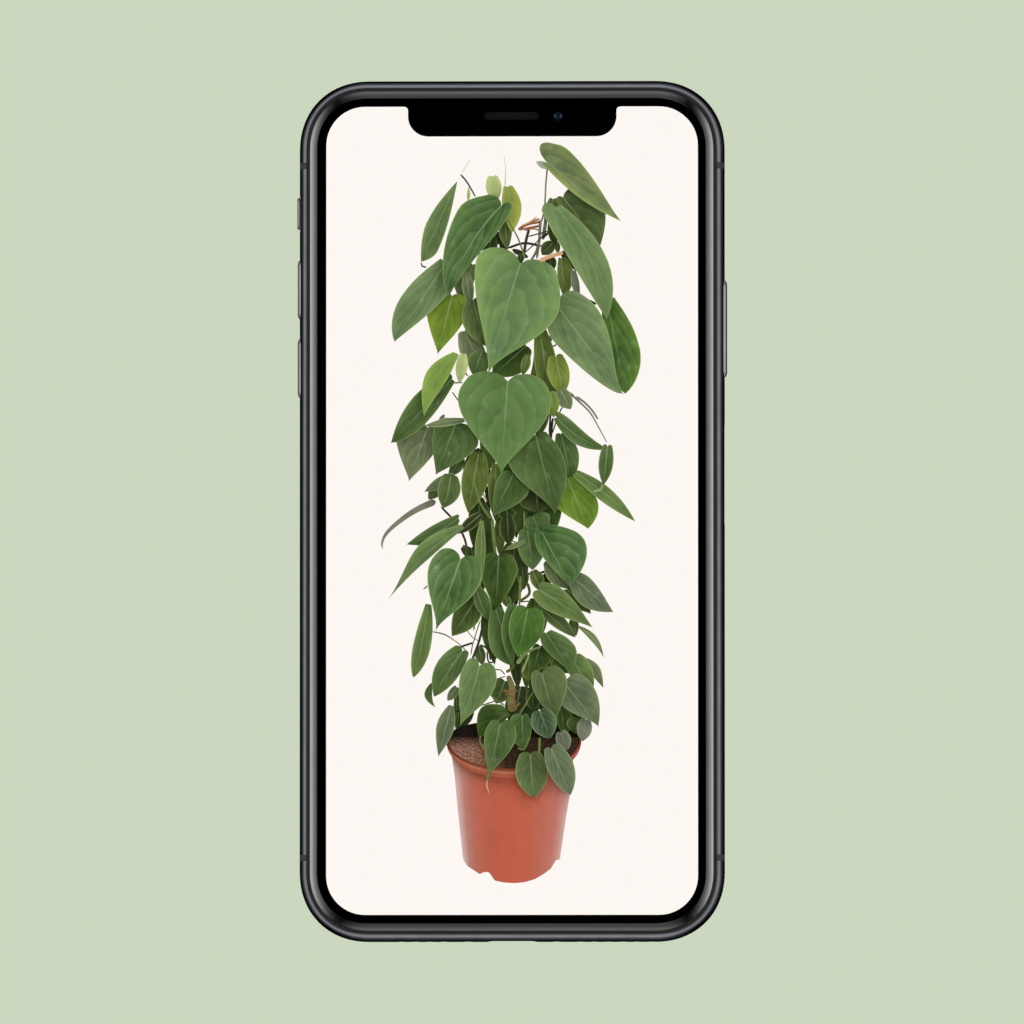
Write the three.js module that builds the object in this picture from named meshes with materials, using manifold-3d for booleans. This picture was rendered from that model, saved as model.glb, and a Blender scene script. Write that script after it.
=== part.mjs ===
// A smartphone lying on its back, screen up.
// Millimetres. X runs to the right as the screen is read, Y up the screen, Z out of the screen.
// The origin is under the middle of the phone, on the surface that it lies on.

import * as THREE from 'three';
import { mergeVertices } from 'three/addons/utils/BufferGeometryUtils.js';
import Module from 'manifold-3d';

const wasm = await Module();
wasm.setup();

// Outer size and outline
const width = 70.9;
const length = 143.6;
const thickness = 7.7;
const cornerReach = 11.75;        // how far a corner's curve runs along each side
const cornerPower = 2.16;         // 2 would be a plain round corner
const cornerSteps = 11;

// Section of the side wall: insets are measured in from the outline
const sideBulge = 2.665;          // half-width of the oval that rounds the side
const sideSteps = 8;
const ringInset = 1.27;           // inner edge of the metal that shows from the front
const wallInset = 2.4;
const ledgeInset = 3.2;
const ledgeBottom = 5.9;
const ledgeTop = 6.5;
const plateBottom = 0.85;
const plateTop = 1.25;
const trimGap = 0.04;             // joint between the metal, the plastic trim and the glass
const seatGap = 0.05;             // joint under a piece that is glued or screwed down
const footMargin = 0.2;           // from the trim's foot to the screen
const rimStep = 0.03;             // how much lower the trim's outer edge lies
const plateOverlap = 0.4;         // how far the plate runs into the wall that it is welded to
const overcut = 1;                // how far a cutter runs past the surface that it opens

// Glass
const glassInset = 1.67;
const glassFlatInset = 2.93;
const glassUnderside = 6.85;
const backGlassTop = 0.8;
const edgeSlopeOuter = THREE.MathUtils.degToRad(40);
const edgeSlopeInner = THREE.MathUtils.degToRad(7);
const edgeSteps = 3;

// Screen
const panelInset = 3.6;
const panelBottom = 5.9;
const backplateBottom = 5.55;
const backplateTop = 5.8;
const notchHalf = 16.9;
const notchBottom = 63.2;
const notchMargin = 0.3;
const flexThick = 0.2;
const displayFlexX = [5, 13];
const displayFlexPath = [[24, 5.3], [37, 5.3], [38.6, 3.2], [43.5, 3.2]];
const displayPlugX = [4.5, 13.5];
const displayPlugY = [40.5, 43.5];

// Sound slot and sensors over the screen
const slotY = 66;
const slotLong = 9.1;
const slotHigh = 1.3;
const meshTop = 7.4;
const meshBottom = 6.9;
const sensorBottom = 2.9;
const sensorTop = 6.5;
const sensorAcross = [63.65, 68.25];
const sensorShoulder = 0.8;       // how far a housing stays under its own window
const sensorCorner = 0.4;
const speakerX = [-5, 5];
const snoutMargin = 0.3;
const frontCameraX = 7.63;
const frontCameraHousing = [5.3, 9.95];
const frontCameraTop = 6.25;
const frontLensBase = 6.3;
const frontLens = { radius: 1.5, reach: 0.62, rim: 0.12 };
const sensorBarrel = 1.9;
const infraredX = [-16.2, -10.6];
const projectorX = [10.6, 16.2];
const projectorWindowX = [11.6, 15.2];
const projectorWindowY = [64.6, 67.4];
const proximityX = [-10.2, -5.3];
const proximityEye = 1.1;
const bracketHalf = 16.5;
const bracketThick = 0.25;
const bracketLeg = 1.2;

// Bands that split the metal ring for the aerials
const bandWidth = 1.05;
const bandFromTop = 14.25;
const bandFromBottom = 14.0;
const bandDepth = 1.25;
const bandGroove = 1.32;

// Keys on the sides
const middleZ = thickness / 2;
const keyHigh = 2.6;
const keyProud = 0.4;
const keyTravel = 0.25;
const keyRound = 0.25;
const keyGap = 0.13;              // all round a key, in its slot
const keyRecess = 1.4;            // depth of the slot's wide part
const stemHigh = 1.3;
const flangeHigh = 2.2;
const flangeThick = 0.4;
const flangeExtra = 2;            // how much longer the flange is than the stem
const carrierThick = 0.4;
const carrierDepth = 1.75;        // from the wall to the back of a switch
const carrierArm = 0.8;
const carrierExtra = 2.4;
const domeRadii = [0.6, 1.0];
const powerY = 30.37;
const powerLong = 16.5;
const volumeUpY = 36.99;
const volumeDownY = 23.87;
const volumeLong = 10.25;
const volumeProud = 0.34;

// Sliding lever that silences the phone
const leverY = 49.67;
const leverLong = 5.5;
const leverHigh = 1.7;
const leverTravel = 1.1;
const leverSlotLong = 5.8;
const leverSlotHigh = 3.1;
const leverCorner = 0.5;
const leverRound = 0.15;
const leverStem = [1.6, 1.0];     // along the side, and through the phone
const leverHole = [2.2, 2.5];
const leverFloorGap = 0.1;
const leverSwitchLong = 7;
const leverSwitchZ = [2.05, 5.45];
const leverSwitchDepth = [0.55, 1.75];

// Card tray
const trayMiddleY = 6.1;
const trayFaceLong = 16.6;
const trayFaceHigh = 1.7;
const trayFaceDepth = 1.2;
const trayRise = 0.05;            // how far the face stays inside the outline
const trayPlateLow = -1.7;
const trayPlateHigh = 11.5;
const trayPlateThick = 1.0;
const trayInner = 19.5;           // x of the tray's far end
const cardLong = 12.4;
const cardWide = 8.9;
const cardLedge = 0.8;
const cardFromEnd = 1.6;
const cardCorner = 0.6;
const trayFloor = 0.25;
const trayRound = 0.12;
const trayGap = 0.2;              // round the tray's plate, in the wall and in the reader
const readerWall = 0.5;
const readerEnd = 0.6;
const readerLid = 0.3;
const pinHoleY = 13.0;
const pinHoleRadius = 0.4;

// Charging socket and the holes beside it
const portLong = 8.4;
const portHigh = 2.6;
const portWall = 0.25;
const portDepth = 6.9;
const tongueLong = 6.7;
const tongueThick = 0.7;
const screwX = 7.4;
const screwHead = 0.75;
const screwShank = 0.45;
const screwSunk = 0.25;
const screwHeadHigh = 0.6;
const screwLong = 2.3;
const screwDrive = 0.38;
const screwHeadGap = 0.12;
const screwHoleDepth = 0.95;
const socketFloor = 0.5;
const tongueSunk = 1.0;           // how far the tongue stays inside the mouth
const mouthGap = 0.05;
const grilleRadius = 0.75;
const grilleStart = 11.4;
const grillePitch = 2.35;
const soundHoles = 6;
const voiceHoles = 4;
const baseGap = 0.1;              // between the base's wall and the parts behind it
const loudspeakerX = [9.5, 30.8];
const loudspeakerTop = -56.3;
const loudspeakerCut = [5.8, 4.4];
const microphoneX = [-20, -10.5];
const microphoneDeep = 2.6;
const microphoneZ = [2.6, 5.1];
const motorX = [-29.5, -8.5];
const motorY = [-66.2, -56.3];
const motorTop = 5;

// Camera at the back, flush with the glass
const cameraX = 25.2;
const cameraWindowY = 56;
const cameraWindowLong = 21;
const cameraWindowWide = 9.6;
const cameraTrim = 0.45;
const cameraUpperY = 61.8;
const cameraLowerY = 50.2;
const cameraBarrel = 3.7;
const cameraHousing = 8.9;
const flashRadius = 1.15;
const flashTop = 2.2;
const windowBottom = 0.1;
const windowThick = 0.6;
const barrelBottom = 0.78;
const barrelGap = 0.15;
const lensWell = { wide: 2.9, narrow: 2.0, depth: 0.8, middle: 1.1 };
const rearLens = { radius: 3.2, reach: 0.6, rim: 0.1 };
const rearLensBase = 1.45;

// Inside
const floorZ = plateTop + seatGap;
const packTop = 5.2;
const longCell = { x: [-31.2, -2], y: [-33.3, 60] };
const shortCell = { x: [-31.2, 31.2], y: [-55.2, -33.7] };
const cellCorner = 1.5;
const boardBottom = 1.35;
const boardTop = 2.35;
const boardX = [-0.6, 30.8];
const boardY = [-31.5, 61.5];
const boardStep = [19.8, 44.6];   // inner corner beside the cameras
const canTop = 4.6;
const canWall = 0.2;
const pressedCorner = 0.6;
const upperCan = { x: [1, 18.6], y: [46, 60.4] };
const lowerCan = { x: [1, 17], y: [-30, 31] };
const clampPlate = { x: [0.4, 18.6], y: [32.2, 35], top: 2.75 };
const clampScrews = [[1.6, 33.6], [17.4, 33.6]];
const boardScrews = [[29, -29.6], [28.9, 42.6]];
const boardScrew = { head: 1.1, high: 0.6, shank: 0.6, hole: 0.75, drive: 0.5 };
const baseFlexX = [1, 6];
const baseFlexPath = [
  [-61.8, 3.2], [-56.4, 3.2], [-55.8, 5.26], [-33, 5.26],
  [-32.4, 4.8], [-32.4, 2.8], [-32, 2.45], [-30.6, 2.45],
];

// Facets
const curveSteps = 6;
const smallSteps = 3;
const wideSteps = 10;
const holeSides = 12;

const black = '#0b0b0c';
const finishes = {
  frameMetal: { color: '#3a3a38', roughness: 0.32, metalness: 1 },
  keyMetal: { color: '#77757c', roughness: 0.3, metalness: 1 },
  screwMetal: { color: '#8d8f92', roughness: 0.3, metalness: 1 },
  innerSteel: { color: '#b4b7ba', roughness: 0.35, metalness: 1 },
  trim: { color: '#222321', roughness: 0.6, metalness: 0 },
  band: { color: '#2a2b2a', roughness: 0.55, metalness: 0 },
  frontGlass: { color: black, roughness: 0.05, metalness: 0 },
  backGlass: { color: '#17181a', roughness: 0.08, metalness: 0 },
  windowGlass: { color: '#101114', roughness: 0.04, metalness: 0 },
  screen: { color: '#fdf7f2', roughness: 0.4, metalness: 0 },
  mesh: { color: '#141414', roughness: 0.7, metalness: 0.5 },
  lens: { color: '#0a1426', roughness: 0.05, metalness: 0 },
  module: { color: '#1c1d20', roughness: 0.5, metalness: 0 },
  diode: { color: '#e8d98a', roughness: 0.3, metalness: 0 },
  cell: { color: '#1a1a1c', roughness: 0.55, metalness: 0 },
  board: { color: '#123a2a', roughness: 0.5, metalness: 0 },
  flex: { color: '#8a5a24', roughness: 0.45, metalness: 0 },
  socket: { color: '#9a9c9e', roughness: 0.35, metalness: 1 },
};

const phone = new THREE.Group();

function addPiece(name, finish, geometry, parent = phone) {
  const mesh = new THREE.Mesh(geometry, new THREE.MeshStandardMaterial(finishes[finish]));
  mesh.name = name;
  parent.add(mesh);
  return mesh;
}

// Joining and cutting

function solidOf(geometry) {
  const plain = geometry.clone();
  plain.deleteAttribute('normal');
  plain.deleteAttribute('uv');
  const merged = mergeVertices(plain, 1e-5);
  return new wasm.Manifold(new wasm.Mesh({
    numProp: 3,
    vertProperties: new Float32Array(merged.attributes.position.array),
    triVerts: new Uint32Array(merged.index.array),
  }));
}

function geometryOf(solid) {
  const mesh = solid.getMesh();
  const geometry = new THREE.BufferGeometry();
  geometry.setAttribute('position', new THREE.BufferAttribute(mesh.vertProperties, 3));
  geometry.setIndex(new THREE.BufferAttribute(mesh.triVerts, 1));
  geometry.computeVertexNormals();
  return geometry;
}

function joined(...geometries) {
  const solids = geometries.map(solidOf);
  return geometryOf(solids.reduce((whole, next) => whole.add(next)));
}

function cut(geometry, ...cutters) {
  const solids = cutters.map(solidOf);
  return geometryOf(solids.reduce((rest, next) => rest.subtract(next), solidOf(geometry)));
}

// Outline and the shapes that follow it

// The phone's outline, moved in by inset along its own normal.
function outline(inset) {
  const middleX = width / 2 - cornerReach;
  const middleY = length / 2 - cornerReach;
  const points = [];
  for (const [sideX, sideY] of [[1, 1], [-1, 1], [-1, -1], [1, -1]]) {
    for (let i = 0; i <= cornerSteps; i += 1) {
      const step = sideX * sideY > 0 ? i : cornerSteps - i;
      const angle = (step / cornerSteps) * (Math.PI / 2);
      const along = Math.cos(angle) ** (2 / cornerPower);
      const up = Math.sin(angle) ** (2 / cornerPower);
      const normal = new THREE.Vector2(along ** (cornerPower - 1), up ** (cornerPower - 1)).normalize();
      const x = middleX + cornerReach * along - inset * normal.x;
      const y = middleY + cornerReach * up - inset * normal.y;
      points.push(new THREE.Vector2(sideX * x, sideY * y));
    }
  }
  return points;
}

// Walls between rows of outline points, one row for each [inset, z] of the section.
function wallsOf(section, closed) {
  const positions = [];
  const indices = [];
  const count = outline(0).length;
  for (const [inset, z] of section) {
    for (const point of outline(inset)) {
      positions.push(point.x, point.y, z);
    }
  }
  const rows = closed ? section.length : section.length - 1;
  for (let row = 0; row < rows; row += 1) {
    const next = (row + 1) % section.length;
    for (let i = 0; i < count; i += 1) {
      const j = (i + 1) % count;
      const a = row * count + i;
      const b = row * count + j;
      const c = next * count + j;
      const d = next * count + i;
      indices.push(a, b, c, a, c, d);
    }
  }
  return { positions, indices, count };
}

function geometryFrom(positions, indices) {
  const geometry = new THREE.BufferGeometry();
  geometry.setAttribute('position', new THREE.Float32BufferAttribute(positions, 3));
  geometry.setIndex(indices);
  return geometry;
}

// A ring round the phone: the section runs up the outside and down the inside.
function ringOf(section) {
  const { positions, indices } = wallsOf(section, true);
  return geometryFrom(positions, indices);
}

// A plate that fills the outline: the section runs from its underside to its top.
function plateOf(section) {
  const { positions, indices, count } = wallsOf(section, false);
  const lastRow = (section.length - 1) * count;
  for (let i = 1; i < count - 1; i += 1) {
    indices.push(0, i + 1, i);
    indices.push(lastRow, lastRow + i, lastRow + i + 1);
  }
  return geometryFrom(positions, indices);
}

// Flat shapes and straight solids

function pill(long, high) {
  const radius = high / 2;
  const half = (long - high) / 2;
  const shape = new THREE.Shape();
  shape.absarc(half, 0, radius, -Math.PI / 2, Math.PI / 2);
  shape.absarc(-half, 0, radius, Math.PI / 2, (3 * Math.PI) / 2);
  shape.closePath();
  return shape;
}

function roundedBox(wide, high, radius) {
  const x = wide / 2 - radius;
  const y = high / 2 - radius;
  const shape = new THREE.Shape();
  shape.absarc(x, y, radius, 0, Math.PI / 2);
  shape.absarc(-x, y, radius, Math.PI / 2, Math.PI);
  shape.absarc(-x, -y, radius, Math.PI, (3 * Math.PI) / 2);
  shape.absarc(x, -y, radius, (3 * Math.PI) / 2, 2 * Math.PI);
  shape.closePath();
  return shape;
}

function extrude(shape, depth, steps = curveSteps) {
  return new THREE.ExtrudeGeometry(shape, { depth, bevelEnabled: false, curveSegments: steps });
}

// A solid with its edges rounded, from 0 to depth.
function softExtrude(shape, depth, round, steps = curveSteps) {
  const geometry = new THREE.ExtrudeGeometry(shape, {
    depth: depth - 2 * round,
    bevelEnabled: true,
    bevelThickness: round,
    bevelSize: round,
    bevelOffset: -round,
    bevelSegments: 2,
    curveSegments: steps,
  });
  return geometry.translate(0, 0, round);
}

// Turns a shape drawn in (y, z) so that its depth runs along +X.
function facingX(geometry) {
  const turn = new THREE.Matrix4().makeBasis(
    new THREE.Vector3(0, 1, 0), new THREE.Vector3(0, 0, 1), new THREE.Vector3(1, 0, 0));
  return geometry.applyMatrix4(turn);
}

// Turns a shape drawn in (x, z) so that its depth runs along -Y.
function facingDown(geometry) {
  const turn = new THREE.Matrix4().makeBasis(
    new THREE.Vector3(1, 0, 0), new THREE.Vector3(0, 0, 1), new THREE.Vector3(0, -1, 0));
  return geometry.applyMatrix4(turn);
}

function block([x0, x1], [y0, y1], [z0, z1]) {
  const geometry = new THREE.BoxGeometry(x1 - x0, y1 - y0, z1 - z0);
  return geometry.translate((x0 + x1) / 2, (y0 + y1) / 2, (z0 + z1) / 2);
}

function roundedBlock([x0, x1], [y0, y1], [z0, z1], radius) {
  const geometry = extrude(roundedBox(x1 - x0, y1 - y0, radius), z1 - z0, smallSteps);
  return geometry.translate((x0 + x1) / 2, (y0 + y1) / 2, z0);
}

function post(x, y, radius, [z0, z1], sides = 16) {
  const geometry = new THREE.CylinderGeometry(radius, radius, z1 - z0, sides);
  return geometry.rotateX(Math.PI / 2).translate(x, y, (z0 + z1) / 2);
}

// The oval side of the metal, from its front rim to its back rim, as [inset, z].
function ovalSide() {
  const rimAngle = Math.acos((sideBulge - ringInset) / sideBulge);
  const points = [];
  for (let i = 0; i <= sideSteps; i += 1) {
    const angle = rimAngle * (1 - (2 * i) / sideSteps);
    points.push([sideBulge * (1 - Math.cos(angle)), middleZ + middleZ * Math.sin(angle)]);
  }
  return points;
}

// The rounded edge of a glass, from its rim to the flat, as [inset, z] for the front.
function glassEdge() {
  const reach = glassFlatInset - glassInset;
  const radius = reach / (Math.sin(edgeSlopeOuter) - Math.sin(edgeSlopeInner));
  const points = [];
  for (let i = 0; i <= edgeSteps; i += 1) {
    const slope = THREE.MathUtils.lerp(edgeSlopeOuter, edgeSlopeInner, i / edgeSteps);
    const inset = glassInset + radius * (Math.sin(edgeSlopeOuter) - Math.sin(slope));
    points.push([inset, thickness - radius * (Math.cos(edgeSlopeInner) - Math.cos(slope))]);
  }
  return points;
}

// Frame: the metal ring with its ledge, and the plate that carries the inside

// The hole for a key: wide where the key sits, narrow where its stem goes through.
function keySlot(long, y, side) {
  const floor = width / 2 - keyRecess;
  const outer = facingX(extrude(pill(long + 2 * keyGap, keyHigh + 2 * keyGap), 3 * overcut));
  const inner = facingX(extrude(pill(long / 2 + 2 * keyGap, stemHigh + 2 * keyGap), 3 * overcut));
  const slots = [outer.translate(floor, 0, middleZ), inner.translate(floor - 2 * overcut, 0, middleZ)];
  return slots.map((slot) => slot.rotateZ(side > 0 ? 0 : Math.PI).translate(0, y, 0));
}

function leverSlots() {
  const floor = width / 2 - keyRecess;
  const outer = facingX(extrude(roundedBox(leverSlotLong, leverSlotHigh, leverCorner), keyRecess + overcut, 2));
  const inner = block([width / 2 - wallInset - overcut, floor + overcut],
    [-leverHole[0] / 2, leverHole[0] / 2], [middleZ - leverHole[1] / 2, middleZ + leverHole[1] / 2]);
  const slots = [outer.translate(floor, 0, middleZ), inner];
  return slots.map((slot) => slot.rotateZ(Math.PI).translate(0, leverY, 0));
}

function traySlots() {
  const floor = width / 2 - keyRecess;
  const innerWall = width / 2 - wallInset;
  const shape = pill(trayFaceLong + 2 * keyGap, trayFaceHigh + 2 * keyGap);
  const face = facingX(extrude(shape, keyRecess + overcut, smallSteps + 2));
  const plateHalf = trayPlateThick / 2 + trayGap;
  const inner = block([innerWall - overcut, floor + overcut], [trayPlateLow - trayGap, trayPlateHigh + trayGap],
    [middleZ - plateHalf, middleZ + plateHalf]);
  const pinRadius = pinHoleRadius + 0.1;
  const pin = new THREE.CylinderGeometry(pinRadius, pinRadius, floor - innerWall + 2 * overcut, holeSides);
  pin.rotateZ(Math.PI / 2).translate((floor + innerWall) / 2, pinHoleY, middleZ);
  return [face.translate(floor, trayMiddleY, middleZ), inner, pin];
}

function roundHoleInBase(x, radius, y0, y1) {
  const hole = new THREE.CylinderGeometry(radius, radius, y1 - y0, holeSides);
  return hole.translate(x, (y0 + y1) / 2, middleZ);
}

function grilleXs() {
  const xs = [];
  for (let i = 0; i < soundHoles; i += 1) xs.push(grilleStart + i * grillePitch);
  for (let i = 0; i < voiceHoles; i += 1) xs.push(-grilleStart - i * grillePitch);
  return xs;
}

function baseCuts() {
  const base = -length / 2;
  const inside = base + wallInset + overcut;
  const mouth = pill(portLong + 2 * mouthGap, portHigh + 2 * mouthGap);
  const socket = facingDown(extrude(mouth, wallInset + 2 * overcut)).translate(0, inside, middleZ);
  const cuts = [socket];
  for (const side of [-1, 1]) {
    cuts.push(roundHoleInBase(side * screwX, screwHead + screwHeadGap, base - overcut, base + screwHoleDepth));
    cuts.push(roundHoleInBase(side * screwX, screwShank + screwHeadGap, base, inside));
  }
  for (const x of grilleXs()) {
    cuts.push(roundHoleInBase(x, grilleRadius, base - overcut, inside));
  }
  return cuts;
}

function bandPlaces() {
  const high = length / 2 - bandFromTop;
  const low = -length / 2 + bandFromBottom;
  return [['left_upper', -1, high], ['right_upper', 1, high], ['left_lower', -1, low], ['right_lower', 1, low]];
}

function bandGrooves() {
  return bandPlaces().map(([, side, y]) => {
    const ends = [side * (width / 2 - bandGroove), side * (width / 2 + overcut)].sort((a, b) => a - b);
    return block(ends, [y - bandWidth / 2, y + bandWidth / 2], [-overcut, thickness + overcut]);
  });
}

function cameraCuts() {
  const zs = [plateBottom - overcut, plateTop + overcut];
  const hole = cameraBarrel + barrelGap;
  return [
    post(cameraX, cameraUpperY, hole, zs, 2 * holeSides),
    post(cameraX, cameraLowerY, hole, zs, 2 * holeSides),
    post(cameraX, cameraWindowY, flashRadius + barrelGap, zs),
  ];
}

function makeFrame() {
  const ring = ringOf([
    ...ovalSide().reverse(),
    [ringInset, ledgeTop], [ledgeInset, ledgeTop], [ledgeInset, ledgeBottom],
    [wallInset, ledgeBottom], [wallInset, plateBottom], [ringInset, plateBottom],
  ]);
  const plateInset = wallInset - plateOverlap;
  const plate = plateOf([[plateInset, plateBottom], [plateInset, plateTop]]);
  const frame = cut(joined(ring, plate),
    ...keySlot(powerLong, powerY, 1), ...keySlot(volumeLong, volumeUpY, -1),
    ...keySlot(volumeLong, volumeDownY, -1), ...leverSlots(), ...traySlots(),
    ...baseCuts(), ...bandGrooves(), ...cameraCuts());
  addPiece('frame', 'frameMetal', frame);
}

function makeBands() {
  const side = ovalSide().map(([inset, z]) => new THREE.Vector2(-Math.min(inset, bandDepth), z));
  const shape = new THREE.Shape(side);
  const wide = bandWidth - 2 * trimGap;
  for (const [name, hand, y] of bandPlaces()) {
    const band = facingDown(extrude(shape, wide)).translate(width / 2, wide / 2, 0);
    const piece = addPiece(`antenna_band_${name}`, 'band', band);
    piece.position.y = y;
    piece.rotation.z = hand > 0 ? 0 : Math.PI;
  }
}

// Trim and glass

function makeTrim() {
  const outer = ringInset + trimGap;
  const inner = glassInset - trimGap;
  const rim = glassEdge()[0][1];
  const foot = glassUnderside - trimGap;
  const seat = ledgeTop + trimGap;
  const footInset = panelInset - footMargin;
  addPiece('front_gasket', 'trim', ringOf([
    [outer, seat], [outer, rim - rimStep], [inner, rim], [inner, foot],
    [footInset, foot], [footInset, seat],
  ]));
  const backRim = thickness - rim;
  addPiece('back_gasket', 'trim', ringOf([
    [outer, backRim + rimStep], [outer, plateBottom - trimGap],
    [inner, plateBottom - trimGap], [inner, backRim],
  ]));
}

function makeGlass() {
  const edge = glassEdge();
  const front = plateOf([[glassInset, glassUnderside], ...edge]);
  const slot = extrude(pill(slotLong, slotHigh), 3 * overcut).translate(0, slotY, glassUnderside - overcut);
  addPiece('cover_glass', 'frontGlass', cut(front, slot));

  const back = plateOf([
    ...edge.map(([inset, z]) => [inset, thickness - z]).reverse(), [glassInset, backGlassTop],
  ]);
  const margin = 2 * (cameraTrim + trimGap);
  const shape = pill(cameraWindowLong + margin, cameraWindowWide + margin);
  const opening = extrude(shape, 3 * overcut, wideSteps).rotateZ(Math.PI / 2);
  opening.translate(cameraX, cameraWindowY, -overcut);
  addPiece('back_glass', 'backGlass', cut(back, opening));
}

// Screen

function screenPlate(low, high, margin) {
  const plate = plateOf([[panelInset, low], [panelInset, high]]);
  const half = notchHalf + margin;
  return cut(plate, block([-half, half], [notchBottom - margin, length / 2], [low - overcut, high + overcut]));
}

// A ribbon of even thickness along points in (y, z), from x0 to x1. It grows to the left of its path.
function ribbon(points, [x0, x1]) {
  const path = points.map(([y, z]) => new THREE.Vector2(y, z));
  const leftOf = (from, to) => new THREE.Vector2(from.y - to.y, to.x - from.x).normalize();
  const high = path.map((point, i) => {
    const before = leftOf(path[Math.max(i - 1, 0)], path[Math.max(i, 1)]);
    const after = leftOf(path[Math.min(i, path.length - 2)], path[Math.min(i + 1, path.length - 1)]);
    const mitre = before.clone().add(after).normalize();
    return point.clone().addScaledVector(mitre, flexThick / mitre.dot(after));
  });
  const shape = new THREE.Shape([...path, ...high.reverse()]);
  return facingX(extrude(shape, x1 - x0)).translate(x0, 0, 0);
}

function makeScreen() {
  addPiece('display_panel', 'screen', screenPlate(panelBottom, ledgeTop, 0));
  addPiece('display_backplate', 'innerSteel', screenPlate(backplateBottom, backplateTop, notchMargin));
  const end = displayFlexPath[displayFlexPath.length - 1];
  const plug = block(displayPlugX, displayPlugY, [boardTop + seatGap, end[1] + flexThick / 4]);
  addPiece('display_flex', 'flex', joined(ribbon(displayFlexPath, displayFlexX), plug));
}

// Sound slot, front camera and sensors

// A housing with its own window, barrel or snout on top.
function sensorBox(xs, top) {
  const box = roundedBlock(xs, sensorAcross, [sensorBottom, sensorTop - sensorShoulder], sensorCorner);
  return joined(box, top);
}

function sensorPost(x, radius, top) {
  return post(x, slotY, radius, [sensorTop - overcut, top], 20);
}

function middle([low, high]) {
  return (low + high) / 2;
}

function makeSensors() {
  const meshShape = pill(slotLong - 2 * trimGap, slotHigh - 2 * trimGap);
  addPiece('earpiece_mesh', 'mesh', extrude(meshShape, meshTop - meshBottom))
    .position.set(0, slotY, meshBottom);

  const snout = extrude(pill(slotLong - 2 * snoutMargin, slotHigh + 2 * snoutMargin), overcut);
  snout.translate(0, slotY, sensorTop - overcut);
  addPiece('earpiece_speaker', 'module', sensorBox(speakerX, snout));

  const barrel = sensorPost(frontCameraX, sensorBarrel, frontCameraTop);
  addPiece('front_camera', 'module', sensorBox(frontCameraHousing, barrel));
  addPiece('front_camera_lens', 'lens', lensCap(frontLens))
    .position.set(frontCameraX, slotY, frontLensBase);

  const infraredBarrel = sensorPost(middle(infraredX), sensorBarrel, sensorTop);
  addPiece('infrared_camera', 'module', sensorBox(infraredX, infraredBarrel));
  const projectorWindow = roundedBlock(projectorWindowX, projectorWindowY,
    [sensorTop - overcut, sensorTop], sensorCorner);
  addPiece('dot_projector', 'module', sensorBox(projectorX, projectorWindow));
  const eye = sensorPost(middle(proximityX), proximityEye, sensorTop);
  addPiece('proximity_sensor', 'module', sensorBox(proximityX, eye));

  const shelfTop = sensorBottom - seatGap;
  const shelf = block([-bracketHalf, bracketHalf], sensorAcross, [shelfTop - bracketThick, shelfTop]);
  const legs = [[-bracketHalf, bracketLeg - bracketHalf], [bracketHalf - bracketLeg, bracketHalf]]
    .map((xs) => block(xs, sensorAcross, [floorZ, shelfTop]));
  addPiece('sensor_bracket', 'innerSteel', joined(shelf, ...legs));
}

// A flat-bottomed lens: a cap of a sphere, closed underneath and given a thin rim.
function lensCap({ radius, reach, rim }) {
  const capRadius = radius * Math.sin(reach);
  const capHigh = radius * (1 - Math.cos(reach));
  const points = [new THREE.Vector2(0, 0), new THREE.Vector2(capRadius, 0)];
  for (let i = 0; i <= edgeSteps; i += 1) {
    const angle = reach * (1 - i / edgeSteps);
    points.push(new THREE.Vector2(radius * Math.sin(angle),
      rim + capHigh - radius * (1 - Math.cos(angle))));
  }
  return new THREE.LatheGeometry(points, 20).rotateX(Math.PI / 2);
}

// Cameras and lamp at the back

function makeCameraWindow() {
  const long = cameraWindowLong;
  const wide = cameraWindowWide;
  const outer = extrude(pill(long + 2 * cameraTrim, wide + 2 * cameraTrim), backGlassTop, wideSteps);
  const hole = extrude(pill(long, wide), 3 * overcut, wideSteps).translate(0, 0, -overcut);
  const pane = extrude(pill(long - 2 * trimGap, wide - 2 * trimGap), windowThick, wideSteps);
  const window = new THREE.Group();
  window.position.set(cameraX, cameraWindowY, 0);
  window.rotation.z = Math.PI / 2;
  phone.add(window);
  addPiece('camera_trim', 'frameMetal', cut(outer, hole), window);
  addPiece('camera_window', 'windowGlass', pane, window).position.z = windowBottom;
}

function makeBackCameras() {
  const half = cameraHousing / 2;
  for (const [name, y] of [['rear_camera_upper', cameraUpperY], ['rear_camera_lower', cameraLowerY]]) {
    const camera = new THREE.Group();
    camera.position.set(cameraX, y, 0);
    phone.add(camera);
    const housing = roundedBlock([-half, half], [-half, half], [floorZ, packTop], pressedCorner);
    const barrel = post(0, 0, cameraBarrel, [barrelBottom, floorZ + plateOverlap], 2 * holeSides);
    const well = new THREE.CylinderGeometry(lensWell.wide, lensWell.narrow, lensWell.depth, 2 * holeSides);
    well.rotateX(-Math.PI / 2).translate(0, 0, lensWell.middle);
    addPiece(name, 'module', cut(joined(housing, barrel), well), camera);
    const lens = lensCap(rearLens).rotateX(Math.PI);
    addPiece(`${name}_lens`, 'lens', lens, camera).position.z = rearLensBase;
  }
  addPiece('flash_led', 'diode', post(cameraX, cameraWindowY, flashRadius, [barrelBottom, flashTop]));
}

// Keys: a cap outside, a stem through the wall and a flange that keeps it in

const innerWall = width / 2 - wallInset;

// A group on the right side at height y, or turned half round onto the left side.
function sideGroup(y, side) {
  const group = new THREE.Group();
  group.position.y = y;
  group.rotation.z = side > 0 ? 0 : Math.PI;
  phone.add(group);
  return group;
}

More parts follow.
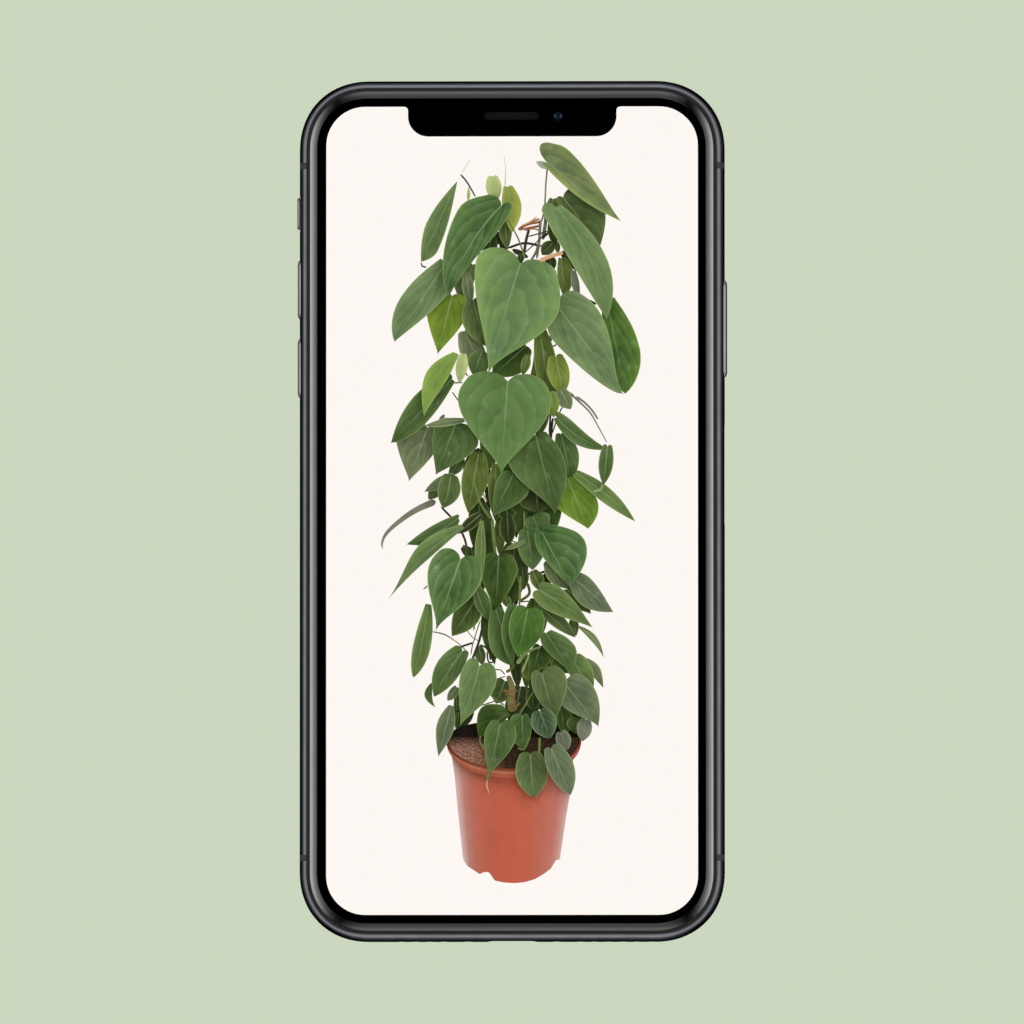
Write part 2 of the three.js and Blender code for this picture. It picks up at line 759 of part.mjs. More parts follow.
function makeKey(name, long, y, side, proud) {
  const floor = width / 2 - keyRecess + keyTravel + seatGap;
  const cap = facingX(softExtrude(pill(long, keyHigh), width / 2 + proud - floor, keyRound));
  const flangeX = innerWall - seatGap - flangeThick;
  const stem = facingX(extrude(pill(long / 2, stemHigh), floor + keyRound - flangeX));
  const flange = facingX(extrude(pill(long / 2 + flangeExtra, flangeHigh), flangeThick));
  addPiece(name, 'keyMetal', joined(
    cap.translate(floor, 0, middleZ),
    stem.translate(flangeX, 0, middleZ),
    flange.translate(flangeX, 0, middleZ)), sideGroup(y, side));
}

// Two arms at the ends of a carrier that is long in y, from x to the wall.
function carrierArms(x, half, zs) {
  return [[-half, carrierArm - half], [half - carrierArm, half]]
    .map((ys) => block([x, innerWall - seatGap], ys, zs));
}

// The switch behind a key: a carrier that reaches the wall beside the flange, and a dome.
function makeSwitch(name, long, y, side) {
  const half = long / 4 + carrierExtra;
  const zs = [middleZ - flangeHigh / 2, middleZ + flangeHigh / 2];
  const back = innerWall - carrierDepth;
  const base = block([back, back + carrierThick], [-half, half], zs);
  const domeTop = innerWall - flangeThick - keyTravel - 2 * seatGap;
  const domeFoot = back + carrierThick - seatGap;
  const dome = new THREE.CylinderGeometry(...domeRadii, domeTop - domeFoot, holeSides);
  dome.rotateZ(-Math.PI / 2).translate((domeTop + domeFoot) / 2, 0, middleZ);
  addPiece(name, 'module', joined(base, ...carrierArms(domeFoot, half, zs), dome), sideGroup(y, side));
}

function makeLever() {
  const group = sideGroup(leverY, -1);
  const floor = width / 2 - keyRecess + leverFloorGap;
  const restZ = middleZ + leverTravel / 2;
  const shape = roundedBox(leverLong, leverHigh, leverCorner);
  const cap = facingX(softExtrude(shape, width / 2 + keyProud - floor, leverRound, 2));
  const [stemLong, stemThick] = leverStem;
  const stem = block([innerWall - leverSwitchDepth[0] + 0.3, floor + leverRound],
    [-stemLong / 2, stemLong / 2], [restZ - stemThick / 2, restZ + stemThick / 2]);
  addPiece('silence_lever', 'keyMetal', joined(cap.translate(floor, 0, restZ), stem), group);

  const half = leverSwitchLong / 2;
  const [near, far] = leverSwitchDepth;
  const body = block([innerWall - far, innerWall - near], [-half, half], leverSwitchZ);
  const arms = carrierArms(innerWall - near - seatGap, half, leverSwitchZ);
  addPiece('silence_switch', 'module', joined(body, ...arms), group);
}

// Card tray and the reader that it slides into

function makeTray() {
  const outer = width / 2 - trayRise;
  const faceInner = outer - trayFaceDepth;
  const shape = pill(trayFaceLong, trayFaceHigh);
  const face = facingX(softExtrude(shape, trayFaceDepth, trayRound, smallSteps + 2));
  face.translate(faceInner, trayMiddleY, middleZ);
  const low = middleZ - trayPlateThick / 2;
  const high = middleZ + trayPlateThick / 2;
  const plate = block([trayInner, faceInner + 2 * trayRound], [trayPlateLow, trayPlateHigh], [low, high]);
  const cardY = (trayPlateLow + trayPlateHigh) / 2;
  const cardX = trayInner + cardFromEnd + cardWide / 2;
  const pocket = extrude(roundedBox(cardWide, cardLong, cardCorner), 2 * overcut, smallSteps);
  pocket.translate(cardX, cardY, low + trayFloor);
  const opening = roundedBox(cardWide - 2 * cardLedge, cardLong - 2 * cardLedge, cardCorner);
  const window = extrude(opening, 3 * overcut, smallSteps).translate(cardX, cardY, low - overcut);
  const pin = new THREE.CylinderGeometry(pinHoleRadius, pinHoleRadius, 4 * overcut, holeSides);
  pin.rotateZ(Math.PI / 2).translate(outer, pinHoleY, middleZ);
  addPiece('card_tray', 'frameMetal', cut(joined(face, plate), pocket, window, pin));
}

function makeReader() {
  const half = trayPlateThick / 2 + trayGap;
  const inner = innerWall - seatGap;
  const end = trayInner - trayGap;
  const [low, high] = [trayPlateLow - trayGap, trayPlateHigh + trayGap];
  const shell = block([end - readerEnd, inner], [low - readerWall, high + readerWall],
    [boardTop + 2 * seatGap, middleZ + half + readerLid]);
  const bay = block([end, inner + overcut], [low, high], [middleZ - half, middleZ + half]);
  addPiece('card_reader', 'innerSteel', cut(shell, bay));
}

// Charging socket, its screws and the sound parts along the base

const base = -length / 2;

function makeSocket() {
  const mouth = base + wallInset + seatGap;
  const back = mouth + portDepth;
  const outer = pill(portLong + 2 * portWall, portHigh + 2 * portWall);
  const shell = facingDown(extrude(outer, portDepth)).translate(0, back, middleZ);
  const bay = facingDown(extrude(pill(portLong, portHigh), portDepth));
  bay.translate(0, back - socketFloor, middleZ);
  const tongue = block([-tongueLong / 2, tongueLong / 2], [mouth + tongueSunk, back - socketFloor / 2],
    [middleZ - tongueThick / 2, middleZ + tongueThick / 2]);
  addPiece('charge_socket', 'socket', joined(cut(shell, bay), tongue));
}

function makeBaseScrews() {
  const headTop = screwSunk + screwHeadHigh;
  const shankFrom = headTop - seatGap;
  for (const [name, side] of [['base_screw_left', -1], ['base_screw_right', 1]]) {
    const head = new THREE.CylinderGeometry(screwHead, screwHead, screwHeadHigh, 18);
    const shank = new THREE.CylinderGeometry(screwShank, screwShank, screwLong - shankFrom, holeSides);
    const drive = new THREE.CylinderGeometry(screwDrive, screwDrive, screwHeadHigh, 6);
    const screw = cut(joined(
      head.translate(0, (screwSunk + headTop) / 2, 0),
      shank.translate(0, (shankFrom + screwLong) / 2, 0)), drive.translate(0, screwSunk, 0));
    addPiece(name, 'screwMetal', screw).position.set(side * screwX, base, middleZ);
  }
}

function makeBaseParts() {
  const wall = base + wallInset + baseGap;
  const [left, right] = loudspeakerX;
  const [cutX, cutY] = loudspeakerCut;
  const shape = new THREE.Shape([
    new THREE.Vector2(left, wall), new THREE.Vector2(right - cutX, wall),
    new THREE.Vector2(right, wall + cutY), new THREE.Vector2(right, loudspeakerTop),
    new THREE.Vector2(left, loudspeakerTop),
  ]);
  addPiece('loudspeaker', 'module', extrude(shape, packTop - floorZ)).position.z = floorZ;
  addPiece('base_microphone', 'module', block(microphoneX, [wall, wall + microphoneDeep], microphoneZ));
  addPiece('haptic_motor', 'innerSteel', roundedBlock(motorX, motorY, [floorZ, motorTop], overcut));
  addPiece('base_flex', 'flex', ribbon(baseFlexPath, baseFlexX));
}

// Battery, board and what is on it

function makeBattery() {
  const zs = [floorZ, packTop];
  addPiece('battery_cell_long', 'cell', roundedBlock(longCell.x, longCell.y, zs, cellCorner));
  addPiece('battery_cell_short', 'cell', roundedBlock(shortCell.x, shortCell.y, zs, cellCorner));
}

// A pressed cover, open underneath.
function can({ x, y }) {
  const bottom = boardTop + seatGap;
  const inside = block([x[0] + canWall, x[1] - canWall], [y[0] + canWall, y[1] - canWall],
    [bottom - overcut, canTop - canWall]);
  return cut(roundedBlock(x, y, [bottom, canTop], pressedCorner), inside);
}

function screwHole([x, y]) {
  return post(x, y, boardScrew.hole, [boardBottom - overcut, clampPlate.top + overcut], holeSides);
}

function makeBoard() {
  const [left, right] = boardX;
  const [low, high] = boardY;
  const [stepX, stepY] = boardStep;
  const shape = new THREE.Shape([
    new THREE.Vector2(left, low), new THREE.Vector2(right, low), new THREE.Vector2(right, stepY),
    new THREE.Vector2(stepX, stepY), new THREE.Vector2(stepX, high), new THREE.Vector2(left, high),
  ]);
  const board = extrude(shape, boardTop - boardBottom).translate(0, 0, boardBottom);
  addPiece('logic_board', 'board', cut(board, ...clampScrews.map(screwHole), ...boardScrews.map(screwHole)));
  addPiece('shield_can_upper', 'innerSteel', can(upperCan));
  addPiece('shield_can_lower', 'innerSteel', can(lowerCan));
  const plate = roundedBlock(clampPlate.x, clampPlate.y, [boardTop + seatGap, clampPlate.top], pressedCorner);
  addPiece('connector_bracket', 'innerSteel', cut(plate, ...clampScrews.map(screwHole)));
}

function makeBoardScrews() {
  const places = [
    ...clampScrews.map((place) => [...place, clampPlate.top]),
    ...boardScrews.map((place) => [...place, boardTop]),
  ];
  places.forEach(([x, y, under], i) => {
    const seat = under + seatGap;
    const top = seat + boardScrew.high;
    const head = post(0, 0, boardScrew.head, [seat, top]);
    const shank = post(0, 0, boardScrew.shank, [floorZ, seat + seatGap], holeSides);
    const drive = post(0, 0, boardScrew.drive, [top - boardScrew.high / 2, top + overcut], 6);
    addPiece(`board_screw_${i + 1}`, 'screwMetal', cut(joined(head, shank), drive)).position.set(x, y, 0);
  });
}

makeFrame();
makeBands();
makeTrim();
makeGlass();
makeScreen();
makeSensors();
makeCameraWindow();
makeBackCameras();
makeKey('power_key', powerLong, powerY, 1, keyProud);
makeKey('volume_up_key', volumeLong, volumeUpY, -1, volumeProud);
makeKey('volume_down_key', volumeLong, volumeDownY, -1, volumeProud);
makeSwitch('power_switch', powerLong, powerY, 1);
makeSwitch('volume_up_switch', volumeLong, volumeUpY, -1);
makeSwitch('volume_down_switch', volumeLong, volumeDownY, -1);
makeLever();
makeTray();
makeReader();
makeSocket();
makeBaseScrews();
makeBaseParts();
makeBattery();
makeBoard();
makeBoardScrews();

export default phone;
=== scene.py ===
import math

import bmesh
import bpy
from mathutils import Matrix, Vector
from mathutils.bvhtree import BVHTree


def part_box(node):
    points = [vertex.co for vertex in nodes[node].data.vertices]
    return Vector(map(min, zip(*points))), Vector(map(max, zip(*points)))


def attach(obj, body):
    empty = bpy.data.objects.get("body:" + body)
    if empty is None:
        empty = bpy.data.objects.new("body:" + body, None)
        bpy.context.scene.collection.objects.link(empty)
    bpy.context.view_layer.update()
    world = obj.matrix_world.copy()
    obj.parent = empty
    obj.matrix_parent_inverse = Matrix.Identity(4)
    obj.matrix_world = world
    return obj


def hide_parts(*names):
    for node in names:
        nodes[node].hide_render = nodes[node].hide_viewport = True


# A smartphone lying on its back with a potted plant shown on its screen.
# Sizes are in millimetres and are scaled to metres when a piece is finished.

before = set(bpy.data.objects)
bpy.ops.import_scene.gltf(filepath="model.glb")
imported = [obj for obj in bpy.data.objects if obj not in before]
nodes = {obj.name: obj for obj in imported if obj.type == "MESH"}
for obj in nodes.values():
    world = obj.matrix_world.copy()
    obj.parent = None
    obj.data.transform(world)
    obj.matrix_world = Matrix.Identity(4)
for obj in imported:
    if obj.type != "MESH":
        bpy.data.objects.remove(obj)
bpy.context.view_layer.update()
mm = 0.001
root = "phone_body"

halfWidth, halfLength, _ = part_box("frame")[1] / mm
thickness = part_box("cover_glass")[1].z / mm
middleZ = thickness / 2

outlineShape = {
    "reach": 11.75,          # how far a corner's curve runs along each side
    "power": 2.16,           # 2 would be a plain round corner
    "cornerSteps": 24,
    "sideSteps": (10, 28),   # splits of a short and of a long straight side
}

# Openings that several pieces share
slot = {"y": 65.85, "long": 9.1, "high": 1.3, "low": 6.9}
frontEye = {"x": 7.72, "hole": 0.98, "base": 6.3}
cameraBump = {"x": 25.2, "y": 56.0, "long": 21.0, "wide": 9.6, "trim": 0.45,
              "lensYs": {"upper": 61.8, "lower": 50.2}}


# Colours, nodes and materials

def linear(hexText):
    channels = [int(hexText[i:i + 2], 16) / 255 for i in (1, 3, 5)]
    return [c / 12.92 if c <= 0.04045 else ((c + 0.055) / 1.055) ** 2.4 for c in channels] + [1.0]


def setInputs(tree, node, values):
    # A socket, or a node's first one, is linked in, and a number or colour is set; a tuple goes in by order
    for name, value in values.items() if isinstance(values, dict) else enumerate(values):
        if isinstance(value, bpy.types.Node):
            value = value.outputs[0]
        if isinstance(value, bpy.types.NodeSocket):
            tree.links.new(value, node.inputs[name])
        else:
            node.inputs[name].default_value = value


def addNode(tree, kind, values=(), stops=(), **settings):
    node = tree.nodes.new("ShaderNode" + kind)
    for name, value in settings.items():
        setattr(node, name, value)
    setInputs(tree, node, values)
    if stops:
        # A colour ramp's stops, each a place and a hex colour or a brightness
        elements = node.color_ramp.elements
        while len(elements) < len(stops):
            elements.new(1.0)
        for element, (place, _) in zip(elements, stops):
            element.position = place
        for element, (_, tone) in zip(elements, stops):
            element.color = linear(tone) if isinstance(tone, str) else (tone, tone, tone, 1)
    return node


def startMaterial(name, **values):
    # The shader's sockets are named with _ in place of a space
    material = bpy.data.materials.new(name)
    material.use_nodes = True
    tree = material.node_tree
    shader = tree.nodes["Principled BSDF"]
    setInputs(tree, shader, {key.replace("_", " "): value for key, value in values.items()})
    return material, tree, shader


def objectNoise(tree, perMm, detail=3.0, stretch=(1, 1, 1), rough=0.5):
    place = addNode(tree, "TexCoord")
    scale = [share / mm for share in stretch]
    mapping = addNode(tree, "Mapping", {"Vector": place.outputs["Object"], "Scale": scale})
    values = {"Vector": mapping, "Scale": perMm, "Detail": detail, "Roughness": rough}
    return addNode(tree, "TexNoise", values)


def tonedMaterial(name, dark, light, pattern, share=(0.3, 0.7, 0.0, 1.0), rough=None, bump=None, **values):
    # Two close tones drift over the surface with a noise pattern, which its gloss and relief can follow
    material, tree, shader = startMaterial(name, **values)
    noise = objectNoise(tree, *pattern)
    blend = addNode(tree, "MapRange", (noise, *share))
    tone = addNode(tree, "Mix", {0: blend, 6: dark, 7: light}, data_type="RGBA").outputs[2]
    setInputs(tree, shader, {"Base Color": tone})
    if rough:
        setInputs(tree, shader, {"Roughness": addNode(tree, "MapRange", (noise, 0.3, 0.7, *rough))})
    if bump:
        height, strength = bump
        relief = addNode(tree, "Bump", {"Strength": strength, "Distance": height * mm, "Height": noise})
        setInputs(tree, shader, {"Normal": relief})
    return material, tree, shader, tone


def coatedSteel(name, hexDark, hexLight, roughness):
    # Polished stainless steel under a thin dark vapour coating: a grey mirror, darker where it turns away
    material, tree, shader, _ = tonedMaterial(name, linear(hexDark), linear(hexLight), (0.35, 4),
                                              Metallic=1.0)
    grain = objectNoise(tree, 9.0, 2, (1, 0.06, 1))    # polishing lines, drawn coarser than real
    gloss = addNode(tree, "MapRange", (grain, 0.3, 0.7, roughness * 0.85, roughness * 1.2))
    setInputs(tree, shader, {"Roughness": gloss, "Specular Tint": linear("#505050")})
    return material


def brightSteel(name, hexText, roughness):
    # Stamped bare steel: lighter, with the fine drag lines of the press
    gloss = roughness * 0.8, roughness * 1.3
    return tonedMaterial(name, linear(hexText), linear("#6e7072"), (6.0, 3, (1, 0.08, 1)),
                         (0.3, 0.7, 0.0, 0.25), gloss, (0.01, 0.3), Metallic=1.0)[0]


def mouldedPlastic(name, hexText, roughness, sparkPitch=0.12, height=0.006, **values):
    # Injection-moulded plastic with a fine spark-eroded skin
    dark = [channel * 0.7 for channel in linear(hexText)[:3]] + [1]
    return tonedMaterial(name, dark, linear(hexText), (1 / sparkPitch, 2), bump=(height, 0.4), IOR=1.5,
                         rough=(roughness * 0.9, min(1, roughness * 1.15)), **values)[0]


def clearGlass(name, tint="#ffffff"):
    # Polished aluminosilicate glass, clear right through, with an even gloss
    return startMaterial(name, Base_Color=linear(tint), IOR=1.51, Roughness=0.0, Transmission_Weight=1.0)[0]


def paintedGlass(name, hexDark, hexLight, roughness, flake):
    # Polished glass over dark paint with very fine mica: deep gloss that isn't quite black
    material, tree, shader, paint = tonedMaterial(
        name, linear(hexDark), linear(hexLight), (0.05, 2), IOR=1.51, Roughness=roughness, Coat_Weight=1.0,
        Coat_Roughness=0.02, Coat_IOR=1.5)
    spark = addNode(tree, "MapRange", (objectNoise(tree, 1 / flake, 1), 0.55, 0.75))
    mica = addNode(tree, "Mix", {0: spark, 6: paint, 7: linear("#3a3c40")}, data_type="RGBA")
    setInputs(tree, shader, {"Base Color": mica.outputs[2]})
    return material


def glassMargin():
    # Glass edge backed by a dark vapour-coated margin: a smooth grey mirror that takes the lights' fall-off
    return tonedMaterial("coatedGlassEdge", linear("#8b8d8c"), linear("#919392"), (0.3, 2),
                         rough=(0.05, 0.08), Metallic=1.0, Coat_Weight=1.0, Coat_Roughness=0.02,
                         Coat_IOR=1.5)[0]


def wireCloth():
    # Blackened stainless wire cloth: dull dark grey, a shade lighter than the printed border
    return tonedMaterial("blackenedWireCloth", linear("#151515"), linear("#222222"), (1.5, 3),
                         Metallic=0.2, Roughness=0.6)[0]


def lensGlass(name, hexDeep, hexGrazingSheen, hexGloss, strength):
    # Ground lens with a broad-band coating: near-black, and its reflections take on the coating's colour;
    # its base colour is painted lighter where the lens is seen edge-on, a painted sheen
    material, tree, shader, deep = tonedMaterial(name, linear(hexDeep), linear("#05070c"), (0.9, 1),
                                                 IOR=strength, Roughness=0.03)
    facing = addNode(tree, "LayerWeight", {"Blend": 0.35}).outputs["Facing"]
    # Painted sheen: the base colour blends to a lighter blue as the surface turns edge-on to the view
    tone = addNode(tree, "Mix", {0: facing, 6: deep, 7: linear(hexGrazingSheen)}, data_type="RGBA").outputs[2]
    setInputs(tree, shader, {"Base Color": tone, "Specular Tint": linear(hexGloss)})
    return material


def phosphorCover():
    # Ribbed clear cover over yellow phosphor: pale yellow with a warm centre
    return tonedMaterial("phosphorFlashCover", linear("#d9c766"), linear("#efe3a4"), (4.0, 2),
                         IOR=1.5, Roughness=0.25, Coat_Weight=0.6)[0]


def goldPlate():
    # Gold-plated spring contacts: warm metal with a soft stamped grain
    return tonedMaterial("goldPlatedContact", linear("#c79a3f"), linear("#dcb65e"), (8.0, 2),
                         Metallic=1.0, Roughness=0.28)[0]


def foilWrap():
    # Laminated pouch foil of a battery cell: near-black with a soft crinkle
    return tonedMaterial("laminatedPouchFoil", linear("#151517"), linear("#222225"), (0.5, 4),
                         bump=(0.05, 0.4), Roughness=0.45)[0]


def solderMask():
    # Glass-fibre board under dark green solder mask, with the weave and the copper tracks showing faintly
    material, tree, shader, mask = tonedMaterial("solderMaskedBoard", linear("#0f3324"), linear("#15402d"),
                                                 (2.5, 2), bump=(0.01, 0.3), Roughness=0.4, IOR=1.55)
    tracks = addNode(tree, "MapRange", (objectNoise(tree, 0.8, 0, (1, 0.2, 1)), 0.52, 0.56, 0.0, 0.6))
    tone = addNode(tree, "Mix", {0: tracks, 6: mask, 7: linear("#2f6b48")}, data_type="RGBA").outputs[2]
    setInputs(tree, shader, {"Base Color": tone})
    return material


def polyimide():
    # Flexible circuit: amber polyimide film with dark copper tracks under it
    return tonedMaterial("polyimideFlex", linear("#6e4417"), linear("#96642b"), (1.6, 0, (1, 0.05, 1)),
                         (0.45, 0.55, 0.0, 1.0), Roughness=0.35, IOR=1.6)[0]


ringSteel = coatedSteel("darkCoatedSteel", "#83838a", "#8d8d95", 0.13)
keySteel = coatedSteel("keyCoatedSteel", "#9f9da6", "#aba9b2", 0.16)
leverSteel = coatedSteel("leverCoatedSteel", "#979996", "#a2a4a1", 0.3)
trimSteel = coatedSteel("cameraTrimSteel", "#77777e", "#84848c", 0.1)
screwSteel = brightSteel("turnedScrewSteel", "#a2a4a6", 0.28)
pressedSteel = brightSteel("pressedInnerSteel", "#b4b7ba", 0.34)
platedShell = brightSteel("nickelPlatedShell", "#a8aaac", 0.25)
gasketRubber = mouldedPlastic("mouldedGasket", "#2a2a2a", 0.55)
bandPlastic = mouldedPlastic("mouldedAntennaPlastic", "#323334", 0.42, 0.08)
modulePlastic = mouldedPlastic("mouldedModulePlastic", "#1b1c1f", 0.5)
socketPlastic = mouldedPlastic("mouldedTonguePlastic", "#141516", 0.45)
printedInk = mouldedPlastic("printedBorderInk", "#020203", 0.6, 0.05, 0.001, Specular_IOR_Level=0.0)
frontGlass = clearGlass("polishedCoverGlass")
windowGlass = clearGlass("cameraWindowGlass", "#dfe3e6")
backPaint = paintedGlass("backPaintedGlass", "#1b1c1f", "#232529", 0.25, 0.09)
frontLens = lensGlass("coatedFrontLens", "#03081a", "#06152e", "#8fb4f0", 3.0)
rearLens = lensGlass("coatedRearLens", "#101420", "#2c2f55", "#9fb4ff", 2.0)


# Mesh helpers

def metreMesh(bm, name):
    bmesh.ops.recalc_face_normals(bm, faces=bm.faces)
    bmesh.ops.scale(bm, vec=(mm, mm, mm), verts=bm.verts)
    mesh = bpy.data.meshes.new(name)
    bm.to_mesh(mesh)
    bm.free()
    return mesh


def smoothMesh(mesh, sharp):
    mesh.polygons.foreach_set("use_smooth", [True] * len(mesh.polygons))
    mesh.set_sharp_from_angle(angle=math.radians(sharp))


def finishPiece(bm, name, materials, body=root, hides=(), sharp=32, merge=True):
    if merge:
        bmesh.ops.remove_doubles(bm, verts=bm.verts, dist=1e-5)
    mesh = metreMesh(bm, name)
    for material in materials:
        mesh.materials.append(material)
    smoothMesh(mesh, sharp)
    piece = bpy.data.objects.new(name, mesh)
    bpy.context.scene.collection.objects.link(piece)
    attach(piece, body)
    if hides:
        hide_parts(*hides)
    return piece


def around(steps, turns=1.0, start=0.0):
    # Points of a circle of radius 1, from a part of a turn on; a full turn leaves out its last point
    count = steps if turns == 1.0 else steps + 1
    angles = [2 * math.pi * (start + turns * i / steps) for i in range(count)]
    return [Vector((math.cos(angle), math.sin(angle))) for angle in angles]


def phoneOutline(inset):
    reach, power, steps = outlineShape["reach"], outlineShape["power"], outlineShape["cornerSteps"]
    points = []
    for sideX, sideY in ((1, 1), (-1, 1), (-1, -1), (1, -1)):
        rising = sideX == sideY
        for i in range(steps + 1):
            angle = math.pi / 2 * (i if rising else steps - i) / steps
            along, up = math.cos(angle) ** (2 / power), math.sin(angle) ** (2 / power)
            normal = Vector((along ** (power - 1), up ** (power - 1))).normalized()
            points.append(Vector((sideX * (halfWidth - reach + reach * along - inset * normal.x),
                                  sideY * (halfLength - reach + reach * up - inset * normal.y))))
        # The straight side runs to the last point's mirror image
        start = points[-1]
        end = Vector((-start.x, start.y)) if rising else Vector((start.x, -start.y))
        splits = outlineShape["sideSteps"][0 if rising else 1]
        points += [start.lerp(end, i / splits) for i in range(1, splits)]
    return points


def pillOutline(long, high, steps=10):
    def outline(inset):
        end = Vector(((long - high) / 2, 0))
        right = [end + (high / 2 - inset) * point for point in around(steps, 0.5, -0.25)]
        return right + [-point for point in right]
    return outline


def roundedOutline(wide, high, corner, steps=5):
    def outline(inset):
        radius = max(corner - inset, 0.001)
        points = []
        for quarter, (sideX, sideY) in enumerate(((1, 1), (-1, 1), (-1, -1), (1, -1))):
            centre = Vector((sideX * (wide / 2 - corner), sideY * (high / 2 - corner)))
            points += [centre + radius * point for point in around(steps, 0.25, quarter / 4)]
        return points
    return outline


def circleOutline(radius, sides=32):
    def outline(inset):
        return [(radius - inset) * point for point in around(sides)]
    return outline


def newParts(made, kind):
    return [part for part in made if isinstance(part, kind)]


def extrudeEdges(bm, edges):
    made = bmesh.ops.extrude_edge_only(bm, edges=edges)["geom"]
    row = newParts(made, bmesh.types.BMVert)
    fresh = set(row)
    return row, [edge for edge in newParts(made, bmesh.types.BMEdge) if set(edge.verts) <= fresh]


def raiseFaces(bm, faces, vec):
    grown = bmesh.ops.extrude_face_region(bm, geom=faces)["geom"]
    top = newParts(grown, bmesh.types.BMVert)
    bmesh.ops.translate(bm, vec=vec, verts=top)
    return top


def loft(outline, rows, closed=False, bm=None):
    # An outline is extruded from row to row, each an (inset, z); closed joins the last row to the first
    bm = bm or bmesh.new()
    order = bm.verts.layers.int.get("order") or bm.verts.layers.int.new("order")
    row = [bm.verts.new((*point, rows[0][1])) for point in outline(rows[0][0])]
    for index, vert in enumerate(row):
        vert[order] = index
    edges = [bm.edges.new((row[i - 1], row[i])) for i in range(len(row))]
    if not closed:
        bmesh.ops.contextual_create(bm, geom=edges)
    verts = list(row)
    for inset, z in list(rows[1:]) + list(rows[:1]) * closed:
        row, edges = extrudeEdges(bm, edges)
        points = outline(inset)
        for vert in row:
            vert.co = (*points[vert[order]], z)
        verts += row
    if not closed:
        bmesh.ops.contextual_create(bm, geom=edges)
    return bm, verts


# Rows: the world's x, y and z, each taken from the x, y and depth that a shape is drawn with
facings = {
    "right": ((0, 0, 1), (1, 0, 0), (0, 1, 0)),
    "left": ((0, 0, -1), (-1, 0, 0), (0, 1, 0)),
    "down": ((1, 0, 0), (0, 0, -1), (0, 1, 0)),
    "up": ((1, 0, 0), (0, 1, 0), (0, 0, 1)),
    "under": ((1, 0, 0), (0, -1, 0), (0, 0, -1)),
    "along": ((0, -1, 0), (1, 0, 0), (0, 0, 1)),
}


def turned(bm, verts, facing, place):
    matrix = Matrix(facings[facing]).to_4x4()
    bmesh.ops.transform(bm, matrix=Matrix.Translation(place) @ matrix, verts=verts)


def turnedLoft(outline, rows, facing, place, closed=False, bm=None):
    bm, verts = loft(outline, rows, closed, bm)
    turned(bm, verts, facing, place)
    return bm


def cutter(outline, depth, facing, place):
    bm = turnedLoft(outline, [(0, 0), (0, depth)], facing, place)
    return bpy.data.objects.new("cutter", metreMesh(bm, "cutter"))


def cutPiece(piece, cutters, sharp=32):
    collection = bpy.data.collections.new("cutters")
    bpy.context.scene.collection.children.link(collection)
    for tool in cutters:
        collection.objects.link(tool)
    boolean = piece.modifiers.new("holes", "BOOLEAN")
    boolean.operand_type = "COLLECTION"
    boolean.collection = collection
    boolean.solver = "EXACT"
    bpy.context.view_layer.update()
    shape = bpy.data.meshes.new_from_object(piece.evaluated_get(bpy.context.evaluated_depsgraph_get()))
    piece.modifiers.clear()
    old = piece.data
    piece.data = shape
    bpy.data.meshes.remove(old)
    for tool in cutters:
        bpy.data.objects.remove(tool)
    bpy.data.collections.remove(collection)
    # Slivers that the cut leaves are closed up
    clean = bmesh.new()
    clean.from_mesh(shape)
    bmesh.ops.remove_doubles(clean, verts=clean.verts, dist=2e-7)
    bmesh.ops.dissolve_degenerate(clean, edges=clean.edges, dist=2e-7)
    clean.to_mesh(shape)
    clean.free()
    smoothMesh(shape, sharp)
    shape.name = piece.name


print("materials and helpers ready")


# Metal ring

ring = {
    "bulge": 2.665,          # half-width of the oval that rounds the side
    "inset": 1.27,           # width of the metal seen from the front
    "steps": 30,
    "wall": 2.4,
    "ledge": 3.2,
    "ledgeZ": (5.9, 6.5),
    "plateZ": (0.85, 1.25),
}
keySlots = {
    "recess": 1.4, "gap": 0.13, "high": 2.6, "stem": 1.3,
    "power": (16.5, 30.37), "volumeUp": (10.25, 36.99), "volumeDown": (10.25, 23.87),
    "lever": (5.8, 3.1, 0.5, 49.67), "leverHole": (2.2, 2.5, 0.2),
    "tray": (16.6, 1.7, 6.1), "trayPlate": (13.6, 1.4, 4.9), "plateCorner": 0.05, "pin": (0.5, 13.0),
    "behind": 2, "pinBehind": 3,    # how far inside the recess's floor the narrow cuts start
}
baseHoles = {
    "socket": (8.5, 2.7),
    "screw": 0.87, "screwX": 7.4, "screwDeep": 0.95, "through": 5,
    "grille": 0.75, "grilleStart": 11.4, "grillePitch": 2.35, "sound": 6, "voice": 4,
}
bands = {
    "wide": 1.05, "joint": 0.04, "depth": 1.25, "groove": 1.32, "corner": 0.01,
    "levels": {"upper": halfLength - 14.25, "lower": 14.0 - halfLength},
}
hands = {"left": -1, "right": 1}
plateHoles = {"lens": 3.85, "flash": 1.3}
overcut = 1.0
cutDeep = 3                  # deep enough to pass the wall


def ovalSide():
    rim, steps = math.acos((ring["bulge"] - ring["inset"]) / ring["bulge"]), ring["steps"]
    turns = [rim * (1 - 2 * i / steps) for i in range(steps + 1)]
    return [(ring["bulge"] * (1 - math.cos(turn)), middleZ + middleZ * math.sin(turn)) for turn in turns]


